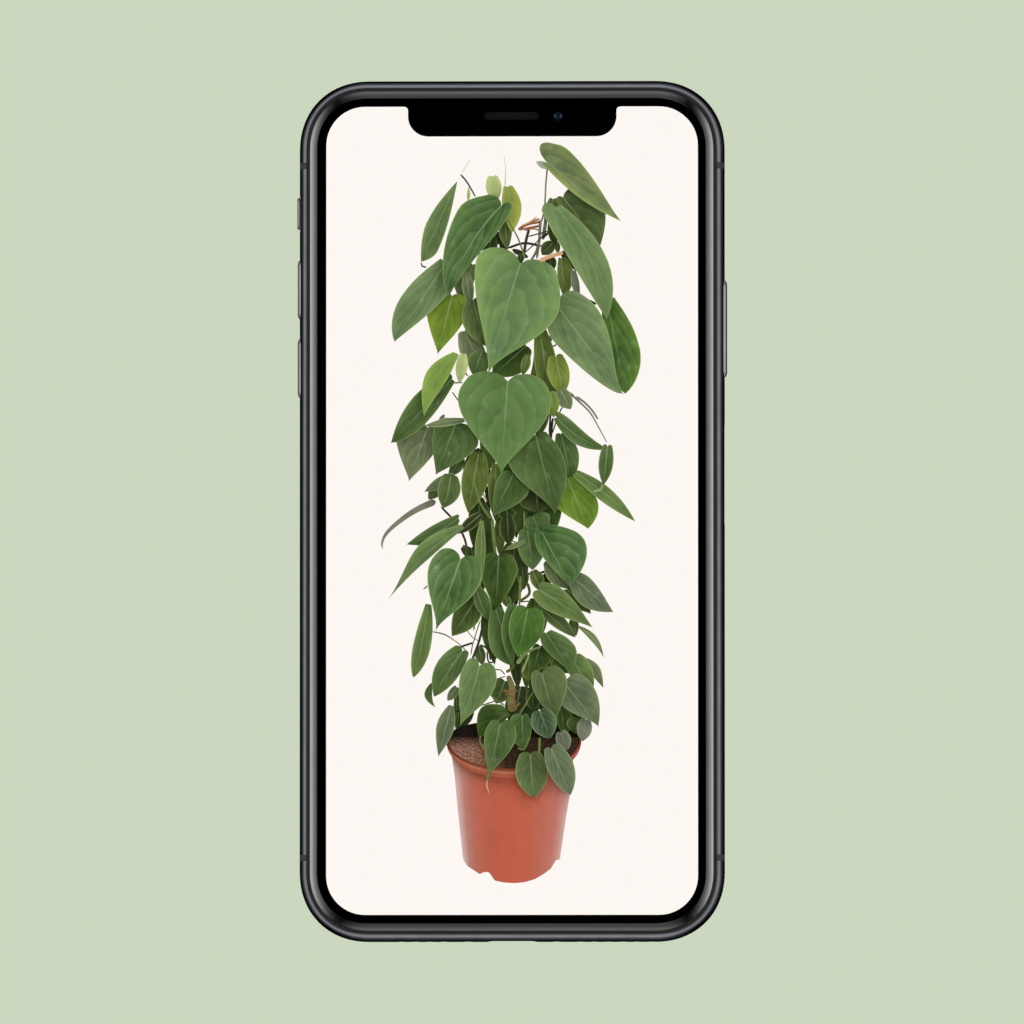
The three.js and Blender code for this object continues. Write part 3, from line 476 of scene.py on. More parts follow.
def sideCutters():
    floor = halfWidth - keySlots["recess"]
    behind = floor - keySlots["behind"]
    gap = 2 * keySlots["gap"]
    cutters = []
    for name, hand in (("power", "right"), ("volumeUp", "left"), ("volumeDown", "left")):
        long, y = keySlots[name]
        wide = pillOutline(long + gap, keySlots["high"] + gap)
        narrow = pillOutline(long / 2 + gap, keySlots["stem"] + gap)
        cutters.append(cutter(wide, cutDeep, hand, (hands[hand] * floor, y, middleZ)))
        cutters.append(cutter(narrow, cutDeep, hand, (hands[hand] * behind, y, middleZ)))
    long, high, corner, y = keySlots["lever"]
    cutters.append(cutter(roundedOutline(long, high, corner), cutDeep, "left", (-floor, y, middleZ)))
    cutters.append(cutter(roundedOutline(*keySlots["leverHole"]), cutDeep, "left", (-behind, y, middleZ)))
    long, high, y = keySlots["tray"]
    cutters.append(cutter(pillOutline(long + gap, high + gap), cutDeep, "right", (floor, y, middleZ)))
    long, high, y = keySlots["trayPlate"]
    plate = roundedOutline(long, high, keySlots["plateCorner"], 1)
    cutters.append(cutter(plate, cutDeep, "right", (behind, y, middleZ)))
    radius, y = keySlots["pin"]
    place = (floor - keySlots["pinBehind"], y, middleZ)
    cutters.append(cutter(circleOutline(radius, 20), cutDeep + overcut, "right", place))
    return cutters


def grilleXs():
    start, pitch = baseHoles["grilleStart"], baseHoles["grillePitch"]
    rows = ((1, baseHoles["sound"]), (-1, baseHoles["voice"]))
    return [side * (start + i * pitch) for side, count in rows for i in range(count)]


def baseCutters():
    base = -halfLength
    inside = base + ring["wall"] + overcut
    through = baseHoles["through"]
    cutters = [cutter(pillOutline(*baseHoles["socket"], 16), through, "down", (0, inside, middleZ))]
    for side in hands.values():
        place = (side * baseHoles["screwX"], base + baseHoles["screwDeep"], middleZ)
        cutters.append(cutter(circleOutline(baseHoles["screw"]), cutDeep, "down", place))
    for x in grilleXs():
        cutters.append(cutter(circleOutline(baseHoles["grille"], 28), through, "down", (x, inside, middleZ)))
    return cutters


def grooveCutters():
    shape = roundedOutline(bands["wide"], thickness + 2 * overcut, bands["corner"], 1)
    deep = halfWidth - bands["groove"]
    return [cutter(shape, cutDeep, hand, (side * deep, y, middleZ))
            for y in bands["levels"].values() for hand, side in hands.items()]


def makeRing():
    ledgeLow, ledgeHigh = ring["ledgeZ"]
    plateLow = ring["plateZ"][0]
    rows = ovalSide() + [
        (ring["inset"], plateLow), (ring["wall"], plateLow), (ring["wall"], ledgeLow),
        (ring["ledge"], ledgeLow), (ring["ledge"], ledgeHigh), (ring["inset"], ledgeHigh)]
    bm, _ = loft(phoneOutline, rows, closed=True)
    piece = finishPiece(bm, "side_ring", [ringSteel], hides=["frame"])
    cutPiece(piece, sideCutters() + baseCutters() + grooveCutters())


def makeMidPlate():
    bm, _ = loft(phoneOutline, [(ring["wall"], z) for z in ring["plateZ"]])
    piece = finishPiece(bm, "mid_plate", [pressedSteel])
    holes = [(y, plateHoles["lens"]) for y in cameraBump["lensYs"].values()]
    holes.append((cameraBump["y"], plateHoles["flash"]))
    cutPiece(piece, [cutter(circleOutline(radius), cutDeep, "up", (cameraBump["x"], y, -overcut))
                     for y, radius in holes])


def makeBands():
    section = [(min(inset, bands["depth"]), z) for inset, z in ovalSide()]
    long = bands["wide"] - 2 * bands["joint"]
    for level, y in bands["levels"].items():
        for hand, side in hands.items():
            bm = bmesh.new()
            verts = [bm.verts.new((side * (halfWidth - inset), y - long / 2, z)) for inset, z in section]
            face = bmesh.ops.contextual_create(bm, geom=verts)["faces"]
            raiseFaces(bm, face, (0, long, 0))
            finishPiece(bm, f"band_{hand}_{level}", [bandPlastic],
                        hides=[f"antenna_band_{hand}_{level}"])


makeRing()
makeMidPlate()
makeBands()
print("ring and bands made")


# Gaskets and glass

glass = {
    "inset": 1.83, "flatInset": 3.03, "underside": 6.85, "backTop": 0.8,
    "slopes": (40, 7),       # of the rounded edge, in degrees, at its rim and where the flat begins
    "steps": 14,
    "sharp": 5,              # the rounded edge meets the flat at a fine crease
}
gasket = {"joint": 0.04, "foot": 3.4, "rimStep": 0.03, "corner": 0.05, "lipDrop": 0.04}


def glassEdge():
    outer, inner = (math.radians(slope) for slope in glass["slopes"])
    radius = (glass["flatInset"] - glass["inset"]) / (math.sin(outer) - math.sin(inner))
    slopes = [outer + (inner - outer) * i / glass["steps"] for i in range(glass["steps"] + 1)]
    return [(glass["inset"] + radius * (math.sin(outer) - math.sin(slope)),
             thickness - radius * (math.cos(inner) - math.cos(slope))) for slope in slopes]


def makeGaskets():
    joint, corner = gasket["joint"], gasket["corner"]
    outer, inner = ring["inset"] + joint, glass["inset"] - joint
    rim = glassEdge()[0][1]
    lower = rim - gasket["rimStep"]
    foot, seat = glass["underside"] - joint, ring["ledgeZ"][1] + joint
    rows = [(outer, seat), (outer, lower - corner), (outer + corner, lower), (inner - corner, rim),
            (inner, rim - gasket["lipDrop"]), (inner, foot), (gasket["foot"], foot), (gasket["foot"], seat)]
    bm, _ = loft(phoneOutline, rows, closed=True)
    finishPiece(bm, "glass_gasket", [gasketRubber], hides=["front_gasket"])
    low, high = thickness - rim, ring["plateZ"][0] - joint
    raised = low + gasket["rimStep"]
    rows = [(outer + corner, raised), (outer, raised + corner), (outer, high), (inner, high),
            (inner, low + gasket["lipDrop"]), (inner - corner, low)]
    bm, _ = loft(phoneOutline, rows, closed=True)
    finishPiece(bm, "back_glass_gasket", [gasketRubber], hides=["back_gasket"])


def makeCoverGlass():
    bm, _ = loft(phoneOutline, [(glass["inset"], glass["underside"])] + glassEdge())
    for face in bm.faces:
        # The faces round the edge have the margin's finish
        heights = [vert.co.z for vert in face.verts]
        face.material_index = int(max(heights) - min(heights) > 1e-4)
    piece = finishPiece(bm, "cover_glass_pane", [frontGlass, glassMargin()],
                        hides=["cover_glass"], sharp=glass["sharp"])
    opening = pillOutline(slot["long"], slot["high"], 16)
    place = (0, slot["y"], glass["underside"] - overcut)
    cutPiece(piece, [cutter(opening, cutDeep, "up", place)], glass["sharp"])


def makeBackGlass():
    edge = [(inset, thickness - z) for inset, z in reversed(glassEdge())]
    bm, _ = loft(phoneOutline, edge + [(glass["inset"], glass["backTop"])])
    piece = finishPiece(bm, "back_glass_pane", [backPaint], hides=["back_glass"],
                        sharp=glass["sharp"])
    margin = 2 * (cameraBump["trim"] + gasket["joint"])
    opening = pillOutline(cameraBump["long"] + margin, cameraBump["wide"] + margin, 24)
    place = (cameraBump["x"], cameraBump["y"], -overcut)
    cutPiece(piece, [cutter(opening, cutDeep, "along", place)], glass["sharp"])


makeGaskets()
makeCoverGlass()
makeBackGlass()
print("gaskets and glass made")


# Screen: its border is printed under the glass, and the lit panel lies below it

screen = {
    "left": -30.9, "right": 31.06, "top": 67.39, "bottom": -67.33,
    "corner": 6.5, "notchHalf": 17.38, "notchX": 0.11, "notchLow": 62.42, "notchCorner": 3.35, "flare": 0.65,
    "inkZ": (6.80, 6.84), "inkInset": 2.08, "inkOverlap": 0.1, "groundZ": (6.505, 6.515), "groundGrow": 1.2,
    "light": 1.09,           # makes up for what the glass over the screen takes away
}


# The lit window as it shows: a rounded rectangle with the notch hanging in from the top
def windowOutline(grow=0.0):
    left, right = screen["left"] - grow, screen["right"] + grow
    top, bottom = screen["top"] + grow, screen["bottom"] - grow
    corner = screen["corner"] + grow
    notch, low = screen["notchHalf"] - grow, screen["notchLow"] + grow
    near, far = screen["notchX"] - notch, screen["notchX"] + notch
    bend, flare = screen["notchCorner"], screen["flare"]
    # Each arc: its centre, radius, start in turns, length in turns, steps
    arcs = [
        (right - corner, bottom + corner, corner, -0.25, 0.25, 14),
        (right - corner, top - corner, corner, 0.0, 0.25, 14),
        (far + flare, top - flare, flare, 0.25, 0.25, 6),
        (far - bend, low + bend, bend, 0.0, -0.25, 12),
        (near + bend, low + bend, bend, -0.25, -0.25, 12),
        (near - flare, top - flare, flare, 0.0, 0.25, 6),
        (left + corner, top - corner, corner, 0.25, 0.25, 14),
        (left + corner, bottom + corner, corner, 0.5, 0.25, 14),
    ]
    return [Vector((x, y)) + radius * point
            for x, y, radius, start, turns, steps in arcs for point in around(steps, turns, start)]


def flatPlate(loops, low, high):
    # The first loop is the plate's edge, and the others are its openings
    bm = bmesh.new()
    edges = []
    for points in loops:
        row = [bm.verts.new((point.x, point.y, low)) for point in points]
        edges += [bm.edges.new((row[i - 1], row[i])) for i in range(len(row))]
    bmesh.ops.triangle_fill(bm, use_beauty=True, use_dissolve=False, edges=edges, normal=(0, 0, 1))
    raiseFaces(bm, list(bm.faces), (0, 0, high - low))
    return bm


def litMaterial(name):
    # Light-emitting screen: the picture's own light, with no gloss of its own under the bonded glass
    return startMaterial(name, Roughness=0.4, Specular_IOR_Level=0.0, Base_Color=linear("#000000"),
                         Emission_Strength=screen["light"])


def litGround():
    # Warm white picture ground with a hardly visible pixel grain, drawn coarser than the real one
    material, tree, shader = litMaterial("litScreenGround")
    grain = addNode(tree, "MapRange", (objectNoise(tree, 2.2, 1), 0.3, 0.7))
    tone = addNode(tree, "Mix", {0: grain, 6: linear("#fcf6f1"), 7: linear("#fdf8f3")}, data_type="RGBA")
    setInputs(tree, shader, {"Emission Color": tone.outputs[2]})
    return material


def setFinish(nodeName, finish):
    nodes[nodeName].data.materials.clear()
    nodes[nodeName].data.materials.append(finish)


def makeScreen():
    border = phoneOutline(screen["inkInset"])
    slotHole = [point + Vector((0, slot["y"]))
                for point in pillOutline(slot["long"], slot["high"])(-screen["inkOverlap"])]
    lensHole = [point + Vector((frontEye["x"], slot["y"]))
                for point in circleOutline(frontEye["hole"], 28)(0)]
    bm = flatPlate([border, windowOutline(), slotHole, lensHole], *screen["inkZ"])
    finishPiece(bm, "printed_border", [printedInk])
    bm = flatPlate([windowOutline(screen["groundGrow"])], *screen["groundZ"])
    finishPiece(bm, "screen_ground", [litGround()])
    setFinish("display_panel", litGround())


makeScreen()
print("screen made")


# Picture on the screen: a potted climbing plant, drawn in millimetres from the screen's middle.
# It is a stack of very thin cut shapes, each one a little higher than the one before.

sheet = {
    "low": 6.53, "high": 6.78, "thick": 0.0018,
    "columns": 14, "rows": 20, "crowd": 0.6,   # a leaf's grid, and how much its rows crowd at both ends
    "blade": 0.975, "drip": 0.05,              # the blade's share of a leaf, and width of its drip tip
    "ribbonSteps": 7, "ribbonEnd": 0.4, "ribbonDark": 0.6,
    "shadowReach": (0.5, 1.2, 2.1), "shadowTurns": (0.3, 1.35, 2.4, 3.45, 4.5, 5.5),
    "shadowShift": (0.3, 0.4), "shadowMost": 0.8,
    "shadowStart": 0.0004,                     # height over a shape's middle, just clear of the shape itself
}

# Each half's outline: width where it starts, place of its widest, fullness, sharpness of the tip, and
# reach of the lobe
leafShapes = {
    "heart": (0.8, 0.2, 1.9, 1.7, 0.09),
    "heartLeft": (0.9, 0.08, 1.6, 1.6, 0.085),
    "heartRight": (0.72, 0.3, 2.0, 1.9, 0.075),
    "cape": (0.85, 0.1, 1.6, 1.3, 0.17),
    "broad": (0.75, 0.25, 2.2, 1.0, 0.06),
    "tail": (0.3, 0.4, 1.7, 2.2, 0.0),
    "lanceLate": (0.0, 0.8, 2.0, 0.9, 0.0),
    "crown": (0.4, 0.42, 2.2, 0.85, 0.05),
    "wide": (0.7, 0.22, 1.6, 1.2, 0.06),
    "shoulder": (0.6, 0.2, 1.2, 0.62, 0.05),
    "oval": (0.3, 0.4, 1.7, 1.1, 0.0),
    "lance": (0.0, 0.58, 1.7, 1.0, 0.0),
    "full": (0.5, 0.4, 2.0, 1.0, 0.03),
    "late": (0.35, 0.55, 2.2, 0.8, 0.0),
    "round": (0.65, 0.36, 2.3, 0.95, 0.06),
}

# Light tone, dark tone, sheen, how much darker its right half is, strength of the side veins
leafTones = {
    "lime": ("#c5cf8b", "#a7b474", 0.1, 0, 0.35),
    "limeWarm": ("#acb156", "#849143", 0.1, 0, 0.4),
    "limeDeep": ("#829836", "#627a2b", 0.1, 0.05, 0.5),
    "oliveLime": ("#849842", "#657636", 0.1, 0, 0.5),
    "oliveDark": ("#6a7b3d", "#4b5928", 0.1, 0, 0.5),
    "leafGreen": ("#7a9739", "#5d782a", 0.1, 0.05, 0.6),
    "bright": ("#8ca74f", "#728d41", 0.1, 0.05, 0.4),
    "brightMid": ("#72884d", "#576c38", 0.2, 0.05, 0.45),
    "light": ("#8a9959", "#65734d", 0.2, 0.1, 0.5),
    "mid": ("#738953", "#586d42", 0.3, 0.05, 0.5),
    "midOlive": ("#657548", "#4d5d37", 0.2, 0.05, 0.5),
    "midCool": ("#7a915b", "#637a4b", 0.35, 0, 0.5),
    "heartOne": ("#7c9859", "#5e7a4c", 0.4, 0.08, 0.55),
    "heartTwo": ("#6a894c", "#53703d", 0.25, 0, 0.5),
    "glossy": ("#607d47", "#3d592f", 0.6, 0.05, 0.8),
    "glossyDark": ("#627453", "#374b2d", 0.6, 0, 0.4),
    "cool": ("#798f5f", "#5c7149", 0.35, 0, 0.55),
    "deep": ("#5f7040", "#41512b", 0.15, 0.05, 0.5),
    "deepest": ("#4c622d", "#2f411c", 0.1, 0, 0.4),
    "deepMid": ("#5c7240", "#42572d", 0.3, 0.05, 0.5),
    "deepFresh": ("#557a35", "#3e5b29", 0.2, 0.05, 0.5),
    "deepBright": ("#608034", "#3c5828", 0.3, 0, 0.5),
    "deepCool": ("#607745", "#445931", 0.35, 0, 0.4),
    "shade": ("#47542e", "#283317", 0, 0, 0.3),
    "grey": ("#848974", "#5e6553", 0.2, 0, 0.3),
    "greyGreen": ("#727f5d", "#556347", 0.35, 0, 0.55),
    "olive": ("#7f8864", "#5b6745", 0.2, 0, 0.7),
    "pale": ("#dfe2db", "#b6bcad", 0.1, 0, 0.7),
    "paleGreen": ("#778957", "#586b3f", 0.1, 0, 0.2),
    "brown": ("#424b2e", "#262e1b", 0, 0, 0.5),
    "brownGreen": ("#5c6f39", "#3d4d25", 0, 0, 0.5),
}

stemTones = {
    "darkStem": "#3c3c2e", "greyStem": "#7d7d69", "paleStem": "#cdcdb4", "rustStem": "#a5694b",
    "greenStem": "#687d42", "brownStem": "#7c5d3c", "oliveStem": "#787346", "paleGreenStem": "#8ea168",
    "sheathStem": "#d3a578", "scrubStem": "#69693c",
}

# Leaves: base x, base y, tip x, tip y, left half, right half, tone, shape, bow of the midrib to the right
backLeaves = [
    (-3.28, 45.82, -4.28, 41.48, 1.17, 1.33, "shade", "full", 0.0),
    (6.23, 42.48, 6.89, 39.82, 1.00, 1.00, "shade", "full", 0.0),
    (7.56, 44.82, 7.73, 42.82, 0.50, 0.50, "deepCool", "full", 0.0),
    (1.39, 42.82, 1.56, 41.15, 0.50, 0.67, "shade", "full", 0.0),
    (-8.28, 8.81, -10.61, 5.64, 0.83, 1.17, "deep", "full", 0.0),
    (-11.78, 3.98, -13.94, 1.81, 1.17, 0.83, "deep", "full", 0.0),
    (5.89, 16.48, 4.06, 11.81, 1.00, 0.83, "deep", "full", 0.0),
    (-2.11, -1.19, -1.94, -7.86, 0.83, 1.00, "oliveDark", "full", 0.0),
    (-6.61, -32.86, -8.94, -36.70, 2.33, 1.00, "shade", "full", 0.0),
    (-9.11, -29.86, -9.28, -36.87, 0.50, 0.50, "deepest", "full", 0.0),
    (-4.11, -19.86, -2.78, -25.86, 0.67, 0.83, "shade", "full", 0.0),
    (-5.44, -22.53, -4.78, -25.86, 1.00, 0.83, "deep", "full", 0.0),
    (2.23, -23.53, 2.56, -30.20, 0.83, 0.67, "oliveDark", "full", 0.0),
    (10.39, -17.70, 10.73, -21.03, 1.00, 0.67, "deep", "full", 0.0),
    (-1.11, 19.31, -4.28, 5.98, 2.67, 2.33, "oliveDark", "full", 0.0),
    (4.73, 30.15, 6.73, 15.98, 1.67, 2.00, "oliveDark", "full", 0.0),
    (0.56, 9.31, -1.11, -4.86, 3.67, 5.00, "deepest", "full", 0.0),
    (4.73, 6.81, 3.89, -8.19, 4.33, 4.00, "deepest", "full", 0.0),
    (-5.61, 1.81, -3.61, -10.69, 2.33, 2.00, "shade", "full", 0.0),
    (0.56, -5.69, -0.61, -16.53, 3.00, 2.67, "shade", "full", 0.0),
    (5.23, -10.69, 6.39, -18.20, 1.00, 1.33, "shade", "full", 0.0),
    (-3.28, -14.86, -2.94, -25.53, 2.00, 2.33, "deepest", "full", 0.0),
    (3.89, -14.86, 3.06, -23.20, 1.67, 2.33, "deepest", "full", 0.0),
    (0.06, -22.86, 1.06, -29.86, 0.83, 1.33, "shade", "full", 0.0),
    (5.56, -24.03, 6.06, -34.87, 3.00, 2.67, "shade", "full", 0.0),
    (1.73, -29.53, 0.56, -36.87, 2.33, 3.33, "shade", "full", 0.0),
    (10.06, -29.86, 9.06, -38.20, 2.67, 3.00, "shade", "full", 0.0),
    (-3.13, 55.65, -2.61, 51.38, 1.34, 1.23, "lime", "round", 0.0),
    (-7.14, 54.16, -7.28, 51.53, 0.26, 0.35, "lime", "lance", 0.0),
    (-1.14, 48.46, -0.65, 43.34, 1.17, 0.99, "deep", "oval", 0.0),
    (-0.71, 53.96, 0.08, 46.18, 1.34, 1.87, "limeWarm", "full", 0.02),
    (6.90, 51.91, 6.60, 48.17, 1.05, 1.23, "deepCool", "round", 0.0),
    (6.46, 48.61, 7.39, 43.34, 0.82, 0.88, "shade", "oval", 0.0),
    (6.75, 44.51, 5.00, 42.61, 1.17, 1.05, "shade", "round", 0.0),
    (8.21, 43.05, 12.95, 38.52, 0.99, 1.52, "shade", "oval", 0.05),
    (8.21, 42.03, 8.80, 35.30, 0.82, 1.87, "oliveDark", "full", 0.0),
    (10.40, 39.98, 11.28, 35.01, 0.82, 0.53, "grey", "full", 0.0),
    (8.56, 52.24, 14.89, 43.90, 1.67, 5.08, "deep", "wide broad", 0.0),
    (-6.41, 41.00, -8.16, 34.43, 2.11, 1.17, "olive", "full", -0.05),
    (-7.58, 39.69, -6.85, 33.84, 0.99, 0.99, "olive", "full", 0.0),
    (-9.94, 35.82, -12.36, 25.98, 3.75, 3.17, "limeDeep", "wide", 0.0),
    (-7.87, 29.89, -4.07, 22.29, 2.28, 1.75, "olive", "full", 0.0),
    (-6.41, 35.16, -4.30, 27.26, 2.69, 2.05, "deep", "full", 0.0),
    (-4.95, 26.53, -6.41, 22.44, 1.75, 1.99, "deepMid", "full", 0.0),
    (2.39, 27.48, -3.44, 22.31, 2.33, 2.83, "deepest", "full", 0.0),
    (-8.01, 26.09, -8.75, 21.12, 0.99, 0.99, "lime", "full", 0.0),
    (15.81, 35.30, 19.03, 19.11, 2.05, 3.80, "deepBright", "late", 0.0),
    (2.66, 25.95, 1.78, 22.44, 0.70, 0.88, "oliveDark", "full", 0.0),
    (7.39, 25.65, 8.64, 19.15, 1.92, 1.75, "oliveLime", "round", 0.0),
    (8.21, 20.10, 9.91, 16.83, 1.52, 1.17, "olive", "round", 0.0),
    (6.60, 19.81, 7.04, 15.42, 1.17, 1.17, "oliveLime", "full", 0.0),
    (-11.23, 15.97, -12.25, 14.65, 0.35, 0.35, "grey", "full", 0.0),
    (-14.01, 13.86, -17.14, 4.80, 4.74, 2.69, "olive", "wide", 0.0),
    (-5.24, 10.12, -8.16, 6.32, 1.05, 1.29, "shade", "full", 0.0),
    (-5.53, 9.53, -7.28, -0.55, 2.05, 2.34, "oliveDark", "full", 0.0),
    (-2.61, 7.78, -2.90, -0.99, 1.17, 1.75, "oliveDark", "full", 0.0),
    (8.21, 12.75, 9.82, 4.27, 1.75, 2.16, "deepMid", "full", 0.02),
    (9.38, 5.44, 12.80, -3.21, 4.09, 3.16, "leafGreen", "wide late", 0.0),
    (-0.85, 0.18, -0.56, -1.58, 1.46, 1.46, "deepest", "full", 0.0),
    (-0.71, -1.14, -0.41, -5.82, 1.46, 1.29, "shade", "round", 0.0),
    (3.68, 0.03, 3.97, -3.33, 1.75, 2.05, "shade", "full", 0.0),
    (3.53, -0.99, 5.29, -5.08, 1.75, 2.63, "deepCool", "wide", 0.0),
    (4.12, 3.10, 4.41, -0.41, 2.92, 2.63, "shade", "round", 0.0),
    (-5.09, -0.55, -9.04, -3.92, 0.99, 0.99, "brown", "full", 0.0),
    (-8.16, -5.96, -5.24, -7.72, 1.17, 0.58, "shade", "full", 0.0),
    (-6.70, -6.25, -4.95, -14.44, 1.75, 1.75, "shade", "full", 0.0),
    (1.78, -9.47, 2.07, -13.27, 0.99, 0.99, "shade", "full", 0.0),
    (3.53, -10.05, 5.00, -13.56, 0.99, 1.29, "oliveDark", "full", 0.0),
    (6.06, -8.36, 9.73, -13.19, 1.83, 1.17, "olive", "full", 0.0),
    (9.23, -13.12, 13.33, -17.31, 1.81, 2.69, "deep", "wide", 0.0),
    (10.40, -11.22, 17.10, -17.01, 2.57, 1.75, "greyGreen", "full wide", 0.0),
    (4.26, -15.76, 10.78, -21.28, 0.99, 1.46, "deep", "full", 0.0),
    (-5.78, -14.53, -10.03, -21.03, 2.17, 2.33, "brownGreen", "broad full", 0.0),
    (-1.00, -14.29, -0.56, -16.19, 0.76, 0.76, "oliveDark", "full", 0.0),
    (7.04, -24.19, 9.88, -27.11, 1.46, 1.75, "deep", "round", 0.0),
    (12.30, -24.77, 15.37, -29.66, 0.47, 1.29, "olive", "oval", 0.0),
    (-9.18, -29.45, -10.73, -31.70, 0.70, 0.88, "olive", "round", 0.0),
    (-13.28, -28.70, -12.61, -32.86, 0.83, 0.50, "deepCool", "oval", -0.18),
    (-1.14, -28.43, -2.61, -32.23, 1.81, 1.81, "deep", "round", 0.0),
    (1.49, -29.31, 0.61, -33.98, 1.75, 1.75, "brown", "full", 0.0),
    (3.53, -29.89, 3.53, -33.40, 1.17, 1.34, "shade", "round", 0.0),
    (2.95, -25.50, 2.66, -28.43, 1.17, 1.17, "oliveDark", "round", 0.0),
    (4.70, -22.58, 3.53, -26.97, 1.34, 2.34, "deepest", "round", 0.0),
]
middleLeaves = [
    (-9.04, 55.01, -15.24, 41.21, 1.81, 1.81, "mid", "lance lanceLate", 0.0),
    (-10.94, 41.48, -19.70, 27.90, 3.13, 3.17, "cool", "late wide", 0.0),
    (7.39, 50.65, 15.90, 31.48, 3.25, 2.57, "midCool", "broad late", 0.08),
    (6.16, 57.38, 4.03, 58.22, 0.47, 0.64, "pale", "round", 0.0),
    (5.89, 57.99, 18.48, 48.07, 1.25, 3.92, "light", "full cape", 0.0),
    (-9.92, 21.96, -20.32, 11.11, 2.57, 1.93, "deepMid", "full late", -0.0),
    (-9.18, 26.24, -14.62, 15.48, 1.87, 1.70, "bright", "oval", -0.1),
    (10.84, 6.17, 20.78, -2.01, 1.34, 1.23, "brightMid", "full", 0.03),
    (-9.33, 14.50, -12.69, 5.85, 3.04, 4.74, "deepMid", "wide", 0.0),
    (-8.01, 15.15, -14.83, 14.04, 0.53, 0.82, "olive", "full", -0.03),
    (-9.62, 5.88, -14.65, 3.10, 0.99, 0.88, "greyGreen", "full", 0.0),
    (-10.21, 5.73, -11.44, 0.32, 1.81, 1.99, "deep", "round", 0.04),
    (-8.86, -1.23, -17.69, -5.67, 1.34, 1.81, "deepMid", "full oval", 0.05),
    (-8.01, -2.69, -20.56, -14.85, 1.99, 0.82, "mid", "tail oval", -0.06),
    (0.17, 5.88, -3.25, -1.11, 2.05, 3.63, "deepMid", "wide", 0.0),
    (7.56, 15.48, 16.56, 10.14, 1.33, 1.50, "deepCool", "full wide", -0.085),
    (15.98, 10.64, 15.31, 4.14, 1.20, 1.25, "deepMid", "round", 0.0),
    (2.66, -3.33, 3.53, -10.05, 1.93, 2.51, "deepCool", "round", 0.0),
    (2.07, -5.08, -1.29, -6.61, 0.41, 0.47, "paleGreen", "full", 0.0),
    (-2.17, -7.57, -2.61, -17.07, 2.92, 3.27, "deepest", "wide", 0.0),
    (-5.82, -12.98, -3.54, -18.48, 0.99, 1.64, "deepMid", "full", -0.05),
    (-2.61, -16.44, 0.23, -26.03, 2.69, 1.75, "deepMid", "late full", 0.0),
    (-13.89, -15.56, -16.46, -28.08, 1.34, 1.58, "brightMid", "late", 0.02),
    (-8.22, -23.46, -13.01, -31.18, 2.40, 1.81, "deepMid", "round", -0.02),
    (-0.61, -33.70, -5.61, -37.87, 3.50, 0.83, "deepest", "full", 0.0),
    (10.11, -24.77, 13.62, -30.24, 1.75, 2.11, "brightMid", "broad", 0.0),
    (8.21, -32.81, 8.80, -37.73, 0.88, 1.75, "deepest", "full", 0.0),
    (11.13, -34.57, 10.55, -37.20, 1.75, 1.75, "deepest", "full", 0.0),
    (12.30, -34.86, 11.81, -38.51, 1.23, 1.29, "grey", "round", 0.0),
    (8.21, -36.91, 9.38, -39.98, 1.29, 1.23, "grey", "round", 0.0),
    (11.13, -19.31, 15.40, -24.69, 0.53, 0.64, "olive", "oval", 0.1),
    (-10.03, -32.46, -12.25, -41.12, 1.58, 1.40, "greyGreen", "oval", 0.0),
]
frontLeaves = [
    (-1.67, 50.86, -10.56, 35.24, 5.15, 2.51, "glossy", "shoulder wide", -0.07),
    (7.92, 33.69, 18.79, 19.16, 4.03, 5.09, "cool", "shoulder heart", 0.0),
    (4.06, 12.52, 7.28, -0.76, 5.61, 3.68, "deepMid", "heart full", 0.0),
    (-0.65, 21.58, -1.73, 5.73, 8.07, 7.48, "heartTwo", "heart", 0.0),
    (1.49, 41.21, -4.01, 22.38, 7.19, 8.42, "heartOne", "heartLeft heartRight", -0.01),
    (-4.89, -1.66, -5.24, -13.62, 1.11, 0.70, "brightMid", "oval", 0.0),
    (-8.51, -8.07, -12.72, -20.17, 4.62, 4.39, "glossy", "heart", 0.0),
    (4.98, -3.53, 9.81, -12.78, 1.92, 5.67, "glossy", "wide crown", 0.0),
    (4.64, -13.27, 13.68, -19.64, 2.22, 2.22, "brightMid", "wide", 0.02),
    (0.46, -15.71, 0.23, -26.03, 2.05, 0.58, "deepMid", "full", 0.0),
    (2.66, -16.44, 1.05, -24.57, 2.57, 3.27, "deepFresh", "broad", 0.0),
    (5.73, -20.39, 9.88, -26.88, 1.64, 2.87, "deepCool", "wide late", 0.0),
    (-5.38, -25.86, -8.80, -36.20, 2.69, 3.45, "mid", "heart", 0.02),
    (8.94, -28.87, 14.56, -36.09, 2.69, 3.45, "greyGreen", "heart broad", 0.0),
    (5.00, -27.11, 7.45, -35.91, 2.11, 3.80, "midOlive", "heart", 0.0),
    (1.78, -34.13, 1.93, -39.77, 2.46, 1.46, "deepMid", "round", 0.0),
    (4.70, -33.40, 6.46, -38.08, 2.11, 2.11, "glossyDark", "round", 0.0),
    (-1.94, -35.53, -3.78, -44.53, 2.17, 3.08, "deepMid", "wide heart", 0.0),
    (3.09, -40.56, 3.68, -48.07, 2.63, 2.69, "midOlive", "round", 0.0),
    (6.60, -39.68, 9.91, -47.58, 1.87, 2.46, "greyGreen", "round", 0.0),
]
